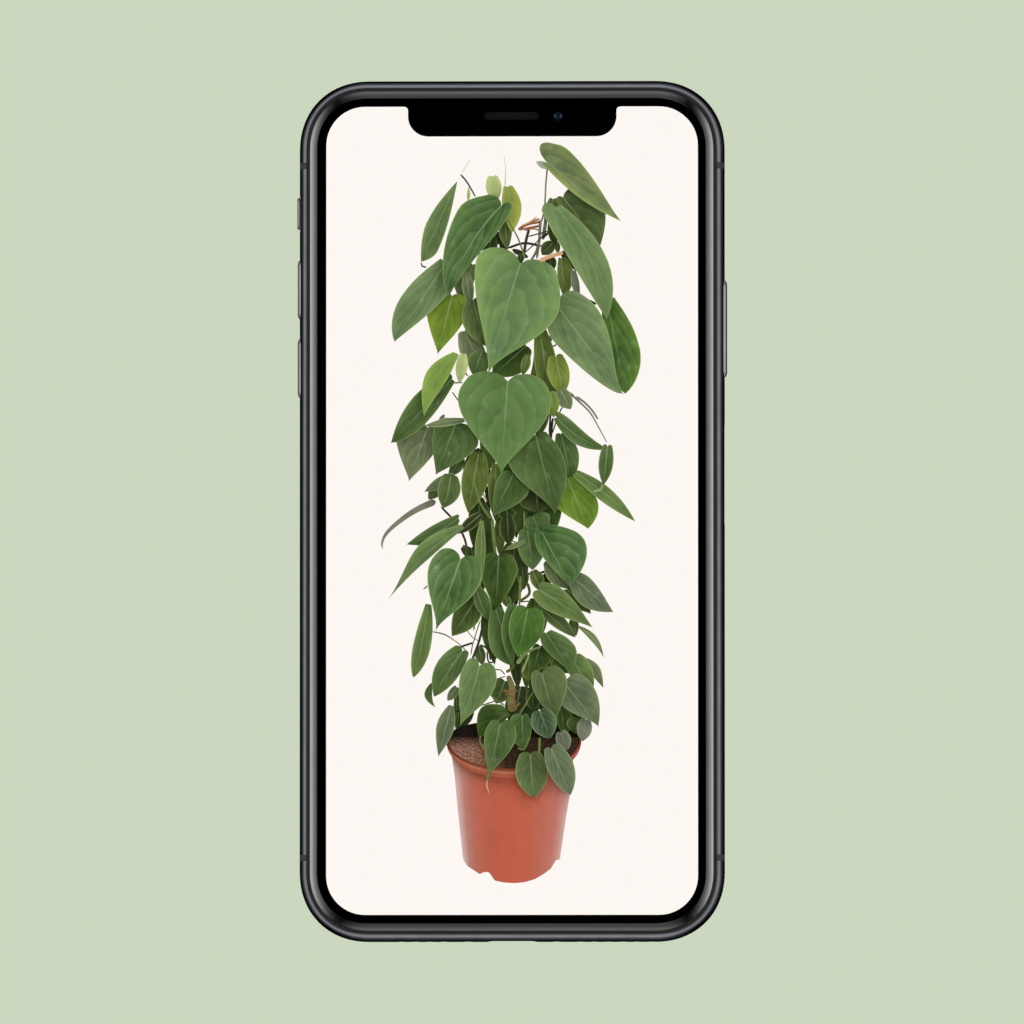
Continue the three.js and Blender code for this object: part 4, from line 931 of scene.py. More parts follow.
backStems = [
    ([(-4.8, 44.7), (-3.3, 45.2), (-1.9, 44.7)], 0.50, 1.00, "darkStem"),
    ([(-5.6, 42.5), (-3.9, 43.8), (-2.4, 44.2)], 0.33, 0.50, "darkStem"),
    ([(1.1, 47.0), (2.4, 47.8), (4.7, 48.7)], 0.20, 0.33, "rustStem"),
    ([(1.1, 46.8), (2.7, 47.7), (4.9, 48.2)], 0.27, 0.43, "rustStem"),
    ([(1.2, 46.8), (3.1, 47.2), (4.9, 47.5)], 0.27, 0.43, "rustStem"),
    ([(1.6, 47.5), (3.1, 48.2), (4.2, 49.0)], 0.20, 0.23, "sheathStem"),
    ([(2.1, 46.7), (3.6, 47.0), (4.7, 46.7)], 0.20, 0.27, "rustStem"),
    ([(0.1, 43.5), (1.4, 43.2), (2.7, 42.2)], 0.50, 0.50, "darkStem"),
    ([(3.1, 41.5), (4.1, 43.2), (4.7, 45.2)], 0.33, 0.50, "greyStem"),
    ([(5.7, 49.5), (5.6, 47.7), (5.2, 45.2)], 0.50, 0.67, "greyStem"),
    ([(5.2, 45.5), (6.4, 46.5), (7.4, 47.0)], 0.33, 0.33, "darkStem"),
    ([(4.2, 28.1), (4.2, 25.1), (3.7, 22.1)], 1.00, 1.33, "oliveStem"),
    ([(6.2, 28.0), (5.6, 24.8), (5.7, 19.8)], 0.83, 1.33, "darkStem"),
    ([(6.9, 15.5), (6.6, 13.5), (6.4, 11.8)], 0.33, 0.67, "darkStem"),
    ([(-6.8, 58.7), (-7.6, 57.5), (-8.3, 56.4)], 0.09, 0.15, "paleStem"),
    ([(-1.3, 59.3), (-1.0, 56.9), (-1.1, 54.2)], 0.09, 0.18, "paleStem"),
    ([(-8.5, 56.1), (-7.3, 54.6), (-6.0, 52.3)], 0.29, 0.23, "darkStem"),
    ([(6.0, 57.7), (5.7, 54.3), (5.5, 50.5), (5.0, 48.2)], 0.26, 0.29, "greyStem"),
    ([(-2.6, 46.4), (-1.6, 45.0), (-1.3, 43.3)], 1.17, 1.29, "darkStem"),
    ([(-0.6, 43.8), (2.1, 44.6), (5.1, 44.1)], 0.41, 0.41, "darkStem"),
    ([(2.9, 46.9), (2.4, 45.0), (2.0, 42.3)], 0.47, 0.47, "darkStem"),
    ([(4.8, 48.5), (4.6, 45.0), (4.2, 42.0)], 0.53, 0.35, "greyStem"),
    ([(2.7, 45.7), (5.3, 46.4), (6.9, 46.9)], 0.23, 0.20, "darkStem"),
    ([(2.1, 42.9), (5.3, 45.8), (6.7, 46.9)], 0.20, 0.20, "darkStem"),
    ([(-4.1, 45.0), (-2.6, 45.5)], 0.23, 0.29, "darkStem"),
    ([(-5.2, 43.8), (-4.1, 43.2), (-2.3, 42.6)], 0.23, 0.29, "darkStem"),
    ([(0.3, 43.2), (2.4, 42.3)], 0.47, 0.53, "darkStem"),
    ([(6.5, 30.6), (6.5, 28.6), (4.8, 26.5)], 0.64, 0.58, "brownStem"),
    ([(4.8, 29.2), (4.3, 25.7), (3.5, 22.4)], 0.88, 0.76, "oliveStem"),
    ([(4.3, 28.3), (4.8, 26.2)], 0.99, 1.29, "oliveStem"),
    ([(5.0, 26.2), (4.8, 22.4), (6.5, 18.6)], 0.58, 0.76, "darkStem"),
    ([(7.5, 27.7), (6.5, 27.1), (5.3, 25.9)], 0.23, 0.29, "darkStem"),
    ([(12.3, 35.4), (14.1, 34.4)], 0.23, 0.47, "darkStem"),
    ([(-9.9, 19.8), (-8.7, 18.1)], 0.20, 0.18, "darkStem"),
    ([(-9.0, 25.4), (-8.2, 23.9), (-7.3, 22.4)], 0.18, 0.23, "darkStem"),
    ([(-9.6, 21.3), (-8.2, 21.4)], 0.23, 0.23, "greyStem"),
    ([(9.5, 19.8), (11.1, 18.3), (13.1, 16.3), (14.6, 13.7), (15.9, 11.3)], 0.38, 0.15, "greyStem"),
    ([(10.8, 19.0), (12.3, 17.9), (13.5, 16.6), (14.4, 15.2)], 0.41, 0.29, "greyStem"),
    ([(10.3, 19.5), (8.2, 16.8), (6.7, 12.7)], 0.23, 0.23, "darkStem"),
    ([(6.5, 16.6), (6.3, 12.7)], 0.35, 0.35, "darkStem"),
    ([(-5.1, 10.6), (-4.9, 6.6), (-4.1, 2.8), (-3.8, -0.4)], 0.58, 0.64, "darkStem"),
    ([(-4.1, 10.1), (-3.8, 6.6), (-3.8, 3.1)], 0.64, 0.41, "darkStem"),
    ([(-6.8, 7.2), (-5.5, 4.3), (-4.1, 1.6)], 0.23, 0.29, "paleStem"),
    ([(-4.1, 0.8), (-4.1, -5.4)], 0.76, 0.58, "darkStem"),
    ([(0.8, 0.3), (0.8, -4.5)], 0.64, 0.58, "darkStem"),
    ([(1.7, 0.3), (1.5, -4.8)], 0.70, 0.58, "brownStem"),
    ([(-12.7, 1.6), (-16.0, 0.1), (-18.9, -1.9), (-20.9, -3.8), (-21.6, -5.4),
      (-21.5, -6.3)], 1.17, 0.12, "greyStem"),
    ([(-11.8, 0.7), (-9.3, -2.0), (-7.9, -4.5), (-7.4, -6.7)], 0.35, 0.38, "darkStem"),
    ([(-2.6, -4.6), (-0.6, -4.9), (1.5, -5.5)], 0.23, 0.23, "paleGreenStem"),
    ([(-4.9, -5.8), (-2.6, -5.2)], 0.23, 0.29, "paleGreenStem"),
    ([(5.3, 0.2), (4.7, -1.6), (6.2, -1.6)], 0.58, 0.47, "paleGreenStem"),
    ([(1.2, -9.5), (1.0, -12.7), (0.6, -15.9)], 0.58, 0.76, "darkStem"),
    ([(2.1, -10.6), (5.0, -10.3), (6.7, -9.5)], 0.41, 0.35, "darkStem"),
    ([(4.4, -10.1), (4.6, -13.3)], 0.47, 0.41, "darkStem"),
    ([(1.5, -15.2), (2.9, -15.1), (4.7, -15.3)], 0.23, 0.20, "greyStem"),
    ([(2.7, -12.1), (2.9, -13.9), (1.2, -15.2)], 0.47, 0.47, "scrubStem"),
    ([(6.5, -9.2), (7.6, -12.1)], 0.29, 0.29, "darkStem"),
    ([(-14.7, -13.1), (-14.0, -12.5)], 0.15, 0.23, "darkStem"),
    ([(-13.4, -20.1), (-11.1, -20.6), (-9.0, -22.0)], 0.15, 0.15, "greyStem"),
    ([(-8.0, -19.1), (-6.7, -20.9), (-5.5, -21.7)], 0.15, 0.15, "greyStem"),
    ([(-6.1, -17.7), (-6.3, -20.0)], 0.41, 0.23, "paleGreenStem"),
]
middleStems = [
    ([(-1.0, 48.9), (0.9, 45.8), (2.3, 42.0)], 0.23, 0.29, "greenStem"),
    ([(5.7, 49.2), (6.7, 49.0), (7.6, 47.6)], 0.26, 0.26, "greenStem"),
    ([(-4.6, 10.1), (-4.7, 8.1)], 0.23, 0.23, "greenStem"),
    ([(-6.4, 5.4), (-5.2, 1.3), (-3.5, -1.3)], 0.23, 0.47, "greenStem"),
    ([(-3.2, -1.3), (-3.0, -4.5), (-2.6, -7.7)], 0.58, 0.41, "greenStem"),
    ([(2.1, 0.0), (2.1, -3.9)], 0.29, 0.23, "greenStem"),
    ([(1.5, -10.9), (1.3, -15.9)], 0.47, 0.41, "greenStem"),
    ([(-13.1, -20.2), (-11.1, -20.7), (-9.0, -22.0), (-7.6, -23.3)], 0.15, 0.18, "greyStem"),
    ([(-4.7, -18.8), (-5.5, -22.0), (-6.7, -25.2)], 0.41, 0.41, "darkStem"),
    ([(-5.2, -18.2), (-6.4, -22.0), (-6.8, -24.0)], 0.20, 0.20, "greenStem"),
    ([(-6.4, -22.0), (-8.2, -22.6), (-9.6, -23.3)], 0.35, 0.35, "darkStem"),
    ([(-5.2, -22.3), (-3.9, -23.2), (-3.5, -24.9)], 0.29, 0.29, "darkStem"),
    ([(-4.1, -23.5), (-3.8, -25.2), (-2.6, -25.1)], 0.29, 0.23, "darkStem"),
    ([(-3.8, -26.7), (-2.0, -26.5), (-1.1, -27.3)], 0.18, 0.18, "darkStem"),
    ([(-2.6, -28.1), (-1.0, -27.6)], 0.18, 0.18, "darkStem"),
    ([(0.2, -22.6), (0.3, -25.8)], 0.76, 0.58, "darkStem"),
    ([(-0.6, -27.5), (0.1, -29.5), (-0.1, -31.5), (0.2, -33.5)], 0.83, 1.50, "oliveStem"),
    ([(-1.4, -29.9), (-0.3, -30.2), (1.1, -30.0)], 0.42, 0.25, "brownStem"),
    ([(-1.1, -30.5), (0.1, -31.0), (0.7, -32.0)], 0.25, 0.33, "brownStem"),
    ([(-0.4, -32.4), (0.4, -32.9), (1.4, -32.0)], 0.50, 0.33, "brownStem"),
    ([(-0.9, -26.9), (-0.1, -26.4), (0.4, -25.5)], 0.50, 0.50, "scrubStem"),
    ([(4.9, -22.7), (3.4, -23.2), (2.1, -24.0), (0.9, -25.5)], 0.27, 0.67, "paleGreenStem"),
    ([(2.9, -23.9), (2.4, -25.4), (1.7, -27.0)], 0.27, 0.30, "paleGreenStem"),
    ([(0.1, -21.5), (0.2, -23.5), (0.2, -25.2)], 0.50, 0.67, "darkStem"),
    ([(3.5, -30.2), (2.4, -32.2), (0.9, -34.6)], 0.23, 0.29, "greenStem"),
    ([(-3.5, -30.8), (-1.1, -32.5)], 0.23, 0.26, "greenStem"),
    ([(-5.2, -32.5), (-2.3, -31.6)], 0.20, 0.23, "greenStem"),
    ([(7.2, -24.0), (6.5, -25.8)], 0.23, 0.23, "greenStem"),
    ([(-9.3, -33.4), (-8.5, -33.5)], 0.23, 0.29, "darkStem"),
]
frontStems = [
    ([(-3.4, -42.7), (-3.9, -44.0), (-4.1, -45.4)], 0.43, 0.27, "greenStem"),
    ([(-4.1, -45.0), (-4.1, -46.0), (-3.7, -47.1)], 0.28, 0.13, "sheathStem"),
    ([(8.6, 43.0), (6.5, 42.4), (4.7, 41.7)], 0.64, 0.64, "sheathStem"),
    ([(-15.1, 41.4), (-14.9, 40.8), (-14.2, 40.6)], 0.18, 0.29, "darkStem"),
    ([(15.2, 4.3), (14.8, 3.5), (13.6, 3.2)], 0.47, 0.35, "paleGreenStem"),
    ([(-5.2, -37.5), (-5.2, -38.7), (-4.1, -39.8)], 0.23, 0.20, "greenStem"),
    ([(3.1, -37.6), (2.1, -39.7), (1.0, -39.5)], 0.29, 0.20, "greenStem"),
    ([(4.7, -37.8), (4.6, -40.4)], 0.41, 0.35, "greenStem"),
]


def leafWidth(v, start, peak, full, sharp):
    # The blade ends just before the leaf's end, and a thin drip tip goes on
    drip = sheet["drip"] * (1 - v) ** 0.5 * min(v, 1.0)
    v = v / sheet["blade"]
    if v < peak:
        return start + (1 - start) * math.sin(math.pi / 2 * v / peak)
    return (1 - min((v - peak) / (1 - peak), 1.0) ** full) ** sharp + drip


def startSheet():
    bm = bmesh.new()
    bm.loops.layers.uv.new("leaf")
    for name in ("lightTone", "darkTone", "look"):
        bm.verts.layers.float_color.new(name)
    return bm


def facesOf(verts):
    return list({face for vert in verts for face in vert.link_faces})


def startGrid(bm, columns, rows):
    verts = bmesh.ops.create_grid(bm, x_segments=columns, y_segments=rows, size=0.5, calc_uvs=True)["verts"]
    return verts, facesOf(verts)


def paintVerts(bm, verts, light, dark, look):
    for name, value in (("lightTone", light), ("darkTone", dark), ("look", look)):
        layer = bm.verts.layers.float_color[name]
        for vert in verts:
            vert[layer] = value


def thicken(bm, faces):
    return raiseFaces(bm, faces, (0, 0, sheet["thick"]))


def addLeaf(bm, entry, level):
    baseX, baseY, tipX, tipY, left, right, tone, shape, bow = entry
    shapes = [leafShapes[half] for half in (shape.split() * 2)[:2]]
    base, way = Vector((baseX, baseY)), Vector((tipX - baseX, tipY - baseY))
    side = Vector((-way.y, way.x)).normalized()
    verts, faces = startGrid(bm, sheet["columns"], sheet["rows"])
    for vert in verts:
        # u runs from the left rim to the right one, and v from the base to the tip
        u, v = vert.co.x * 2, vert.co.y + 0.5
        v += sheet["crowd"] * (0.5 - 0.5 * math.cos(math.pi * v) - v)
        *curve, lobe = shapes[0 if u < 0 else 1]
        # The lobes beside the stalk reach back past the leaf's base
        back = lobe * math.sin(math.pi * 0.95 * abs(u)) ** 0.6 * (1 - v) ** 3
        wide = leafWidth(v, *curve) * (left if u < 0 else right)
        bend = 4 * bow * v * (1 - v) * way.length
        place = base + way * (v - back) + side * (u * wide + bend)
        vert.co = (place.x, place.y, level)
    light, dark, sheen, half, veins = leafTones[tone]
    ribWidth = min(0.2 / max(left, right), 0.4)
    paintVerts(bm, verts, linear(light), linear(dark), (sheen, half, veins, ribWidth))
    return thicken(bm, faces)


def smoothPath(points, steps):
    # A smooth curve through all the points
    points = [Vector(point) for point in points]
    ends = [2 * points[0] - points[1]] + points + [2 * points[-1] - points[-2]]
    path = []
    for before, start, end, after in zip(ends, ends[1:], ends[2:], ends[3:]):
        pull, swing = 2 * before - 5 * start + 4 * end - after, 3 * start - before - 3 * end + after
        for i in range(steps):
            t = i / steps
            path.append(0.5 * (2 * start + (end - before) * t + pull * t ** 2 + swing * t ** 3))
    return path + [points[-1]]


def addStem(bm, entry, level):
    points, startWide, endWide, tone = entry
    path = smoothPath(points, sheet["ribbonSteps"])
    last = len(path) - 1
    hand = bm.verts.layers.int.get("hand") or bm.verts.layers.int.new("hand")
    row = [bm.verts.new((0, 0, level)), bm.verts.new((0, 0, level))]
    row[1][hand] = 1    # along the ribbon's left edge, and 0 along its right one
    edges = [bm.edges.new(row)]
    verts = []
    for i, place in enumerate(path):
        if i:
            row, edges = extrudeEdges(bm, edges)
        way = (path[min(i + 1, last)] - path[max(i - 1, 0)]).normalized()
        half = (startWide + (endWide - startWide) * i / last) / 2
        if i in (0, last):
            half *= sheet["ribbonEnd"]
        for vert in row:
            spot = place + Vector((-way.y, way.x)) * half * (1 if vert[hand] else -1)
            vert.co = (spot.x, spot.y, level)
        verts += row
    faces = facesOf(verts)
    layer = bm.loops.layers.uv["leaf"]
    for face in faces:
        for loop in face.loops:
            loop[layer].uv = (loop.vert[hand], 0.5)
    light = linear(stemTones[tone])
    dark = [channel * sheet["ribbonDark"] for channel in light[:3]] + [1]
    paintVerts(bm, verts, light, dark, (0, 0, 0, 1))
    return thicken(bm, faces)


def finishLit(tree, shader, colour):
    # Whatever lies close above takes some of the light away
    shadow = addNode(tree, "Attribute", attribute_name="lightTone").outputs["Alpha"]
    colour = addNode(tree, "Mix", {0: shadow, 6: colour, 7: linear("#6f7961")}, data_type="RGBA",
                     blend_type="MULTIPLY").outputs[2]
    setInputs(tree, shader, {"Emission Color": colour})


def leafPicture():
    # Leaf skin as a lit picture: pale midrib, arching side veins with folds, a waxy sheen and a lighter rim
    material, tree, shader = litMaterial("litLeafPicture")
    place = addNode(tree, "UVMap", uv_map="leaf")
    u, v, _ = addNode(tree, "SeparateXYZ", (place,)).outputs
    across = addNode(tree, "Math", (u, 2.0, -1.0), operation="MULTIPLY_ADD")
    off = addNode(tree, "Math", (across,), operation="ABSOLUTE")
    light = addNode(tree, "Attribute", attribute_name="lightTone")
    dark = addNode(tree, "Attribute", attribute_name="darkTone")
    look = addNode(tree, "Attribute", attribute_name="look")
    sheen, half, veins = addNode(tree, "SeparateColor", (look,)).outputs
    line = look.outputs["Alpha"]
    cloud = objectNoise(tree, 0.2, 2)
    mottle = objectNoise(tree, 0.8, 4)
    # Side veins leave the midrib in turn left and right and arch towards the tip, each with its fold
    arch = addNode(tree, "Math", (off, 1.4), operation="POWER")
    lag = addNode(tree, "Math", (arch, -0.55, v), operation="MULTIPLY_ADD")
    wobble = addNode(tree, "Math", (cloud, 0.2, lag), operation="MULTIPLY_ADD")
    wobble = addNode(tree, "Math", (mottle, 0.04, wobble), operation="MULTIPLY_ADD")
    hand = addNode(tree, "Math", (across, 0.0), operation="GREATER_THAN")
    turn = addNode(tree, "Math", (wobble, 4.5, hand), operation="MULTIPLY_ADD")
    turn = addNode(tree, "Math", (hand, -0.55, turn), operation="MULTIPLY_ADD")
    turn = addNode(tree, "Math", (turn,), operation="FRACT")
    fold = addNode(tree, "ValToRGB", (turn,), [
        (0.0, "#5c5c5c"), (0.05, "#3c3c3c"), (0.14, "#c8c8c8"), (0.3, "#a8a8a8"), (0.6, "#888888"),
        (0.85, "#686868"), (1.0, "#5c5c5c")])
    near = addNode(tree, "MapRange", (off, 0.02, 0.2, 0.3, 1.0))
    far = addNode(tree, "MapRange", (off, 0.7, 0.98, 1.0, 0.15))
    fade = addNode(tree, "Math", (near, far), operation="MULTIPLY")
    fade = addNode(tree, "Math", (fade, veins), operation="MULTIPLY")
    relief = addNode(tree, "Math", (fold, -0.25))
    relief = addNode(tree, "Math", (relief, fade), operation="MULTIPLY")
    # The surface rolls gently, so light and dark tone drift over it
    roll = addNode(tree, "MapRange", (cloud, 0.36, 0.64, 0.16, 0.66))
    blend = addNode(tree, "Math", (relief, 1.7, roll), operation="MULTIPLY_ADD")
    blend = addNode(tree, "Math", (mottle, 0.5, blend), operation="MULTIPLY_ADD")
    outer = addNode(tree, "Math", (off, 2.2), operation="POWER")
    blend = addNode(tree, "Math", (outer, 0.8, blend), operation="MULTIPLY_ADD")
    blend = addNode(tree, "Math", (blend, -0.4))
    lean = addNode(tree, "Math", (across, half), operation="MULTIPLY")
    blend = addNode(tree, "Math", (lean, -3.0, blend), operation="MULTIPLY_ADD")
    colour = addNode(tree, "Mix", {0: blend, 6: dark, 7: light}, data_type="RGBA", clamp_factor=False)
    # Waxy sheen on the folds, with small bright glints
    gleam = objectNoise(tree, 0.34, 2, (1, 0.6, 1))
    patch = addNode(tree, "MapRange", (gleam, 0.45, 0.7))
    patch = addNode(tree, "Math", (patch, fold), operation="MULTIPLY")
    glint = addNode(tree, "MapRange", (mottle, 0.6, 0.72, 0.4, 2.2))
    patch = addNode(tree, "Math", (patch, glint), operation="MULTIPLY")
    patch = addNode(tree, "Math", (patch, sheen), operation="MULTIPLY", use_clamp=True)
    # Pale midrib that fades towards the tip, and a pale rim, both as thin lines
    rib = addNode(tree, "MapRange", (off, 0.0, line, 1.0, 0.0))
    ribFade = addNode(tree, "MapRange", (v, 0.0, 0.9, 1.2, 0.1))
    rib = addNode(tree, "Math", (rib, ribFade), operation="MULTIPLY")
    rib = addNode(tree, "Math", (rib, veins), operation="MULTIPLY", use_clamp=True)
    edge = addNode(tree, "Math", (1.0, line), operation="SUBTRACT")
    rim = addNode(tree, "MapRange", (off, edge, 1.0, 0.0, 1.6))
    rim = addNode(tree, "Math", (rim, veins), operation="MULTIPLY", use_clamp=True)
    for share, tone in ((patch, "#a9bbab"), (rib, "#a3b685"), (rim, "#98ad6c")):
        below = colour.outputs[2]
        colour = addNode(tree, "Mix", {0: share, 6: below, 7: linear(tone)}, data_type="RGBA")
    finishLit(tree, shader, colour.outputs[2])
    return material


def stemPicture():
    # Petioles and stems as a lit picture: rounded, so darker at both edges, with fine lengthwise wear
    material, tree, shader = litMaterial("litStemPicture")
    place = addNode(tree, "UVMap", uv_map="leaf")
    parts = addNode(tree, "SeparateXYZ", (place,))
    light = addNode(tree, "Attribute", attribute_name="lightTone")
    dark = addNode(tree, "Attribute", attribute_name="darkTone")
    swell = addNode(tree, "Math", (parts, 0.45, 0.55), operation="COMPARE")
    wear = addNode(tree, "MapRange", (objectNoise(tree, 0.8, 2), 0.35, 0.6, 0.2, 1.0))
    blend = addNode(tree, "Math", (swell, 0.5, wear), operation="MULTIPLY_ADD", use_clamp=True)
    colour = addNode(tree, "Mix", {0: blend, 6: dark, 7: light}, data_type="RGBA")
    finishLit(tree, shader, colour.outputs[2])
    return material


# Pot: a lipped plastic nursery pot seen from a little above, with soil inside its lip
pot = {
    # Both flanks: heights, and x there; the foot's outline: places across, and y there
    "leftEdge": [(-41.0, -9.95), (-43.9, -9.53), (-49.7, -8.98), (-58.0, -8.1), (-62.0, -7.7)],
    "rightEdge": [(-41.0, 10.3), (-47.1, 9.75), (-51.2, 9.05), (-58.0, 8.05), (-62.0, 7.7)],
    "bottom": [(-8.1, -58.0), (-7.5, -59.2), (-5.4, -60.6), (-5.2, -60.4), (-4.75, -60.2), (-4.0, -60.2),
               (-3.7, -60.45), (-3.0, -61.6), (-1.3, -61.95), (0.5, -62.05), (2.2, -61.9), (4.0, -61.4),
               (5.4, -60.6), (6.7, -59.6), (7.2, -58.6), (7.45, -58.2), (8.1, -58.1)],
    "topY": -41.0, "footY": -58.0, "tuck": 0.3, "columns": 56, "rows": 30,
    # Ovals: centre x and y, half-width, reach towards the viewer, reach beyond
    "lip": (0.37, -38.05, 11.27, 6.55, 3.0), "soil": (0.37, -37.95, 10.98, 5.0, 3.1),
    "ovalGrid": (48, 12),
    "ovalPower": 0.88,       # 1 would be a plain ellipse, and less is fuller
    "ovalEnd": 0.002,        # share of the height that is left at both ends
    "shadeY": (-39.6, -37.6), "shadeX": (-4.0, -1.0), "shadeRight": 0.85,
}


def interpolate(stops, x):
    # A straight line from stop to stop, and past them the nearer end's value
    for (x0, y0), (x1, y1) in zip(stops, stops[1:]):
        if (x0 - x) * (x1 - x) <= 0:
            return y0 + (y1 - y0) * (x - x0) / (x1 - x0)
    return stops[0][1] if abs(x - stops[0][0]) < abs(x - stops[-1][0]) else stops[-1][1]


def acrossPot(shape, s, y):
    # s runs from the left flank to the right one
    return interpolate(shape["leftEdge"], y) * (1 - s) + interpolate(shape["rightEdge"], y) * s


def addPotBody(bm, shape, level):
    verts, faces = startGrid(bm, shape["columns"], shape["rows"])
    centreX, centreY, wide, high, _ = shape["lip"]
    for vert in verts:
        # t runs from the lip down to the foot
        s, t = vert.co.x + 0.5, 0.5 - vert.co.y
        low = interpolate(shape["bottom"], acrossPot(shape, s, shape["footY"]))
        topX = acrossPot(shape, s, shape["topY"])
        top = centreY - high * math.sqrt(1 - ((topX - centreX) / wide) ** 2) + shape["tuck"]
        y = top + (low - top) * t
        vert.co = (acrossPot(shape, s, y), y, level)
    return thicken(bm, faces)


def addOval(bm, shape, level):
    centreX, centreY, wide, near, beyond = shape
    verts, faces = startGrid(bm, *pot["ovalGrid"])
    for vert in verts:
        turn, reach = math.pi * (vert.co.x + 0.5), vert.co.y * 2
        high = max(math.sin(turn), pot["ovalEnd"]) ** pot["ovalPower"]
        rise = reach * (near if reach < 0 else beyond) * high
        vert.co = (centreX - wide * math.cos(turn), centreY + rise, level)
    return thicken(bm, faces)


def potPicture():
    # Nursery pot of matt terracotta-coloured plastic, with cool reflections along both flanks
    material, tree, shader = litMaterial("litPotPicture")
    place = addNode(tree, "UVMap", uv_map="leaf")
    across = addNode(tree, "SeparateXYZ", (place,)).outputs[0]
    flanks = addNode(tree, "ValToRGB", (across,), [
        (0.0, "#d6b4b0"), (0.035, "#c39a92"), (0.07, "#b87d6f"), (0.13, "#b66b5c"), (0.2, "#b96450"),
        (0.32, "#b95e4a"), (0.5, "#be5e48"), (0.68, "#be624c"), (0.8, "#bb6a58"), (0.9, "#bf7466"),
        (0.955, "#c38a80"), (1.0, "#cfaaa4")])
    drift = addNode(tree, "MapRange", (objectNoise(tree, 0.5, 3), 0.3, 0.7, 0.96, 1.03))
    drift = addNode(tree, "CombineColor", (drift, drift, drift))
    colour = addNode(tree, "Mix", {0: 1.0, 6: flanks, 7: drift}, data_type="RGBA", blend_type="MULTIPLY")
    finishLit(tree, shader, colour.outputs[2])
    return material


def lipPicture():
    # Rolled lip of the pot: a bright line along its front crest, with a darker turn under it
    material, tree, shader = litMaterial("litLipPicture")
    place = addNode(tree, "UVMap", uv_map="leaf")
    across, up, _ = addNode(tree, "SeparateXYZ", (place,)).outputs
    roll = addNode(tree, "ValToRGB", (up,), [
        (0.0, "#b25842"), (0.03, "#b95e47"), (0.05, "#c26c53"), (0.066, "#e29a7c"), (0.08, "#d98667"),
        (0.095, "#b35d47"), (0.112, "#9a4c3a"), (0.125, "#7c3a2c"), (1.0, "#83402f")])
    flanks = addNode(tree, "ValToRGB", (across,), [
        (0.0, "#8f4a44"), (0.12, "#a8574a"), (0.3, "#c86a52"), (0.6, "#d07058"), (0.9, "#c06458"),
        (1.0, "#b45a50")])
    colour = addNode(tree, "Mix", {0: 0.25, 6: roll, 7: flanks}, data_type="RGBA")
    finishLit(tree, shader, colour.outputs[2])
    return material


def soilPicture():
    # Peaty potting soil: brown crumbs that go nearly black in the shade at the back
    material, tree, shader = litMaterial("litSoilPicture")
    crumbs = addNode(tree, "ValToRGB", (objectNoise(tree, 2.4, 4, (1, 1.3, 1), 0.65),), [
        (0.3, "#4c332a"), (0.44, "#7a5544"), (0.54, "#936b57"), (0.64, "#ab8570"), (0.75, "#c3a088")])
    place = addNode(tree, "TexCoord").outputs["Object"]
    x, y, _ = addNode(tree, "SeparateXYZ", (place,)).outputs
    startY, endY, startX, endX = (edge * mm for edge in pot["shadeY"] + pot["shadeX"])
    back = addNode(tree, "MapRange", (y, startY, endY))
    right = addNode(tree, "MapRange", (x, startX, endX, 0.0, pot["shadeRight"]))
    shade = addNode(tree, "Math", (back, right), operation="MAXIMUM")
    colour = addNode(tree, "Mix", {0: shade, 6: crumbs, 7: linear("#1e1712")}, data_type="RGBA")
    finishLit(tree, shader, colour.outputs[2])
    return material


def shadeUnder(sheets):
    # The share of rays near a spot that meet a shape above it, as the spot's shadow
    places, polygons = [], []
    for bm, *_ in sheets:
        bm.verts.index_update()
        polygons += [[len(places) + vert.index for vert in face.verts] for face in bm.faces]
        places += [vert.co.copy() for vert in bm.verts]
    tree = BVHTree.FromPolygons(places, polygons)
    shift = Vector((*sheet["shadowShift"], sheet["shadowStart"]))
    spots = [shift + Vector((reach * math.cos(turn), reach * math.sin(turn), 0))
             for reach in sheet["shadowReach"] for turn in sheet["shadowTurns"]]
    up = Vector((0, 0, 1))
    for bm, tops, *_ in sheets:
        layer = bm.verts.layers.float_color["lightTone"]
        for vert in tops:
            met = sum(tree.ray_cast(vert.co + spot, up, 1.0)[0] is not None for spot in spots)
            vert[layer] = (*vert[layer][:3], min(met / len(spots), sheet["shadowMost"]))


# Layers from the back to the front: piece name, how its shapes are drawn, the shapes, its finish
def makePicture():
    leafSkin, stemSkin = leafPicture(), stemPicture()
    layers = [
        ("picture_stems_back", addStem, backStems, stemSkin),
        ("picture_leaves_back", addLeaf, backLeaves, leafSkin),
        ("picture_pot", addPotBody, [pot], potPicture()),
        ("picture_pot_lip", addOval, [pot["lip"]], lipPicture()),
        ("picture_soil", addOval, [pot["soil"]], soilPicture()),
        ("picture_stems_middle", addStem, middleStems, stemSkin),
        ("picture_leaves_middle", addLeaf, middleLeaves, leafSkin),
        ("picture_leaves_front", addLeaf, frontLeaves, leafSkin),
        ("picture_stems_front", addStem, frontStems, stemSkin),
    ]
    step = (sheet["high"] - sheet["low"]) / sum(len(shapes) for _, _, shapes, _ in layers)
    level = sheet["low"]
    sheets = []
    for name, draw, shapes, skin in layers:
        bm, tops = startSheet(), []
        for shape in shapes:
            tops += draw(bm, shape, level)
            level += step
        sheets.append((bm, tops, name, skin))
    shadeUnder(sheets)
    for bm, _, name, skin in sheets:
        finishPiece(bm, name, [skin], merge=False)
    print("picture made, one shape every", round(step, 5), "mm")


makePicture()


# Sound slot and front camera

# Its pitch is a little coarser than the real one, so that it shows
weave = {
    "pitch": 0.2, "wire": 0.055, "rise": 0.035, "z": 7.2, "clear": 0.06, "shortest": 0.1,
    "rimTop": 7.3, "rimGap": 0.04, "rim": [(0, -0.04), (0.03, 0), (0.08, 0), (0.11, -0.04)],
    "floorTop": 7.0, "floorGap": 0.05, "ends": 12,
}


